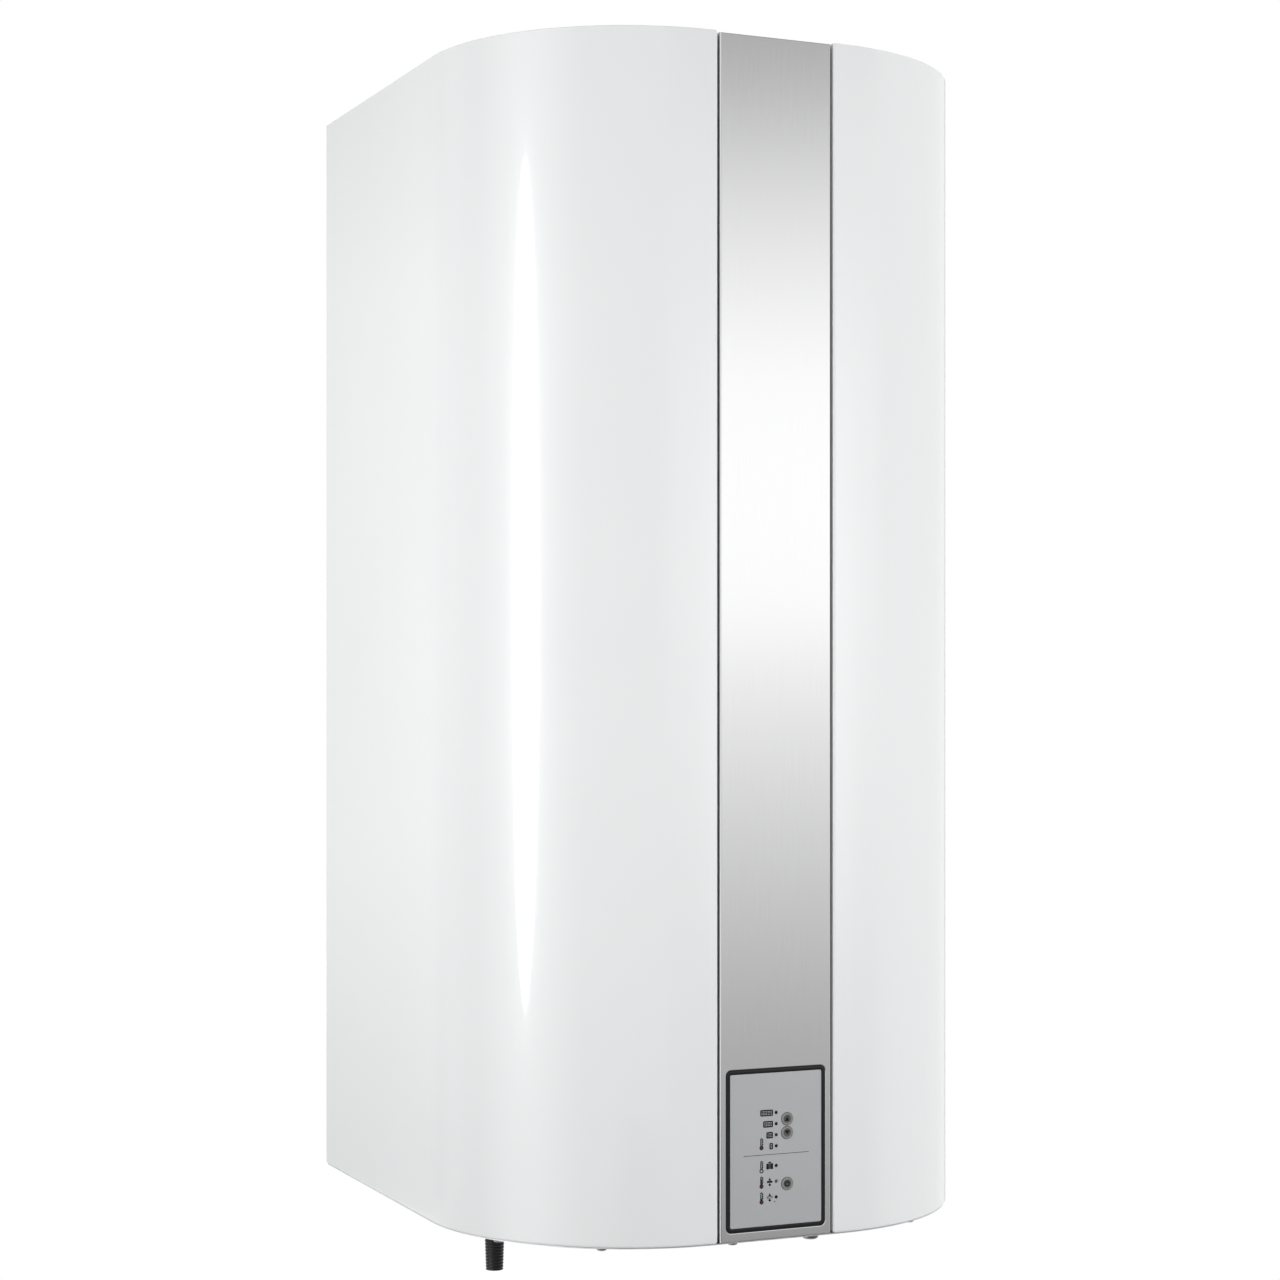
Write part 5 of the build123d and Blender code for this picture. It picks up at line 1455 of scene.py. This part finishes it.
@dataclass(frozen=True)
class Lamp:
    """An area lamp that faces the casing. Sizes in metres, power in watts."""

    name: str
    place: Point
    size: Flat
    power: float
    outline: Glow = Glow.OBLONG
    mirrored: bool = False

    CASING_Y = -0.3

    def build(self) -> None:
        """Hangs the lamp and turns it to the casing, level if it hangs below the wall rail."""
        data = bpy.data.lights.new(self.name, "AREA")
        data.shape = self.outline.value
        data.size, data.size_y = self.size
        data.energy = self.power
        lamp = link_object(self.name, data)
        lamp.location = self.place
        aim = Vector((0.0, self.CASING_Y, min(self.place[2], 0.0))) - Vector(self.place)
        lamp.rotation_euler = aim.to_track_quat("-Z", "Y").to_euler()
        lamp.visible_camera = False
        lamp.visible_glossy = self.mirrored


@dataclass
class Studio:
    """Pale floor, soft lights, reflectors and the camera.

    Sizes are in metres, those of the sensor, the lens and the floor's patches in millimetres.
    """

    floor_y: float = -0.26
    floor_z: float = -1.75
    floor_r: float = 2.6
    floor_melt: float = 1.3
    floor_glow: float = 0.66
    floor_rough: float = 0.9
    floor_tones: Flat = (0.52, 0.55)
    floor_patch: float = 300.0
    world_level: float = 0.57
    world_tint: Colour = (0.985, 0.993, 1.0)
    eye: Point = (-1.0664, -2.6423, -0.412)
    bearing: float = 23.81
    sensor: float = 36.0
    lens: float = 74.38
    shift: float = 0.0370

    LAMPS = (
        Lamp("key_light", (-1.348, -0.659, -0.274), (0.36, 1.13), 6.6, Glow.OVAL, True),
        Lamp("fill_light", (0.85, -2.05, -0.33), (0.7, 0.9), 13.0),
        Lamp("rear_light_left", (-0.9, 2.3, -0.37), (1.0, 2.0), 15.0),
        Lamp("rear_light_right", (1.5, 2.0, -0.1), (1.0, 1.4), 10.0),
        Lamp("top_light", (0.0, -0.3, 2.1), (1.0, 1.0), 11.0),
    )
    CARDS = (
        Card("strip_card", (0.988, -2.49, -0.225), 26.7, 1.3, 1.175, 1.7,
             ((0.018, 0.31), (0.176, 0.40), (0.323, 0.62), (0.440, 0.83), (0.468, 0.96), (0.646, 0.96),
              (0.734, 0.79), (0.793, 0.67), (0.881, 0.40), (0.979, 0.28))),
        Card("corner_card", (-2.07, -0.79, -0.3), -79.7, 1.2, 2.2, 2.0, ((0.0, 1.0), (1.0, 1.0)), 0.8),
        Card("side_card", (-0.9, 1.6, -0.3), 18.6, 1.0, 1.0, 0.95,
             ((0.05, 0.78), (0.30, 1.0), (0.78, 1.0), (0.96, 0.82)), 0.3),
        Card("edge_flag", (1.06, 0.53, -0.35), 43.0, 0.30, 1.3, 1.0, ((0.0, 0.15), (1.0, 0.15)), 0.4),
        Card("top_flag", (0.0, 0.0, 1.25), 0.0, 1.3, 1.8, 1.0, ((0.0, 0.18), (1.0, 0.18)), 0.3, 90.0),
        Card("foot_flag", (0.3, -3.3, -1.70), 0.0, 3.0, 2.5, 1.0, ((0.0, 0.30), (1.0, 0.30)), 0.3, 90.0),
    )

    def build(self) -> None:
        """Makes the whole set."""
        bpy.context.scene.view_settings.view_transform = "Standard"
        self.world()
        self.floor()
        for item in (*self.LAMPS, *self.CARDS):
            item.build()
        self.camera()

    def world(self) -> None:
        """White to look at, a softer level for the light that it gives."""
        world = bpy.data.worlds.new("studio")
        bpy.context.scene.world = world
        graph = Graph(world)
        graph.surface.inputs["Color"].default_value = (*self.world_tint, 1.0)
        graph.surface.inputs["Strength"].default_value = self.world_level
        graph.fade(graph.seen(), graph.surface, graph.add("Background", Color=WHITE))

    def floor(self) -> None:
        """A pale round floor that keeps the shadow, melts away at its rim and is open from below."""
        work = bmesh.new()
        bmesh.ops.create_circle(work, cap_ends=True, segments=96, radius=self.floor_r)
        mesh = bpy.data.meshes.new("floor")
        work.to_mesh(mesh)
        work.free()
        floor = link_object("floor", mesh)
        floor.location = (0.0, self.floor_y, self.floor_z)
        mesh.materials.append(self.floor_paint())

    def floor_paint(self) -> Material:
        """The floor's finish.

        Returns:
            The material.
        """
        material = bpy.data.materials.new("pale_floor")
        graph = Graph(material)
        surface = graph.surface.inputs
        surface["Roughness"].default_value = self.floor_rough
        stops = tuple(zip(SWING, map(grey, self.floor_tones)))
        graph.join(graph.ramp(graph.noise((self.floor_patch,) * 3), stops), surface["Base Color"])
        surface["Emission Color"].default_value = WHITE
        glow = graph.stretch(graph.seen(), NONE_TO_ALL, (0.0, self.floor_glow))
        graph.join(glow, surface["Emission Strength"])
        places = graph.add("TexCoord").outputs["Object"]
        reach = graph.add("VectorMath", places, operation="LENGTH").outputs["Value"]
        rim = graph.stretch(reach, (self.floor_melt, self.floor_r), NONE_TO_ALL)
        below = graph.add("NewGeometry").outputs["Backfacing"]
        gone = graph.add("Math", below, rim, operation="MAXIMUM").outputs[0]
        graph.fade(gone, graph.surface, graph.add("BsdfTransparent"))
        return material

    def camera(self) -> None:
        """The camera, level and at the height and bearing that the picture was taken from."""
        data = bpy.data.cameras.new("camera")
        data.sensor_width = self.sensor
        data.lens = self.lens
        data.shift_y = self.shift
        camera = link_object("camera", data)
        camera.location = self.eye
        camera.rotation_euler = (math.radians(90.0), 0.0, -math.radians(self.bearing))
        bpy.context.scene.camera = camera


def main() -> None:
    """Builds the heater's looks and its set, in order."""
    logging.basicConfig(level=logging.INFO, format="%(message)s")
    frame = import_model()
    palette = Palette()
    CarriedNodes(palette).dress(frame["nodes"])
    panel = ControlPanel(palette)
    for group in (Casing(palette), panel, PanelPrint(palette, panel), Underside(palette)):
        group.build()
    Studio().build()


if __name__ == "__main__":
    main()
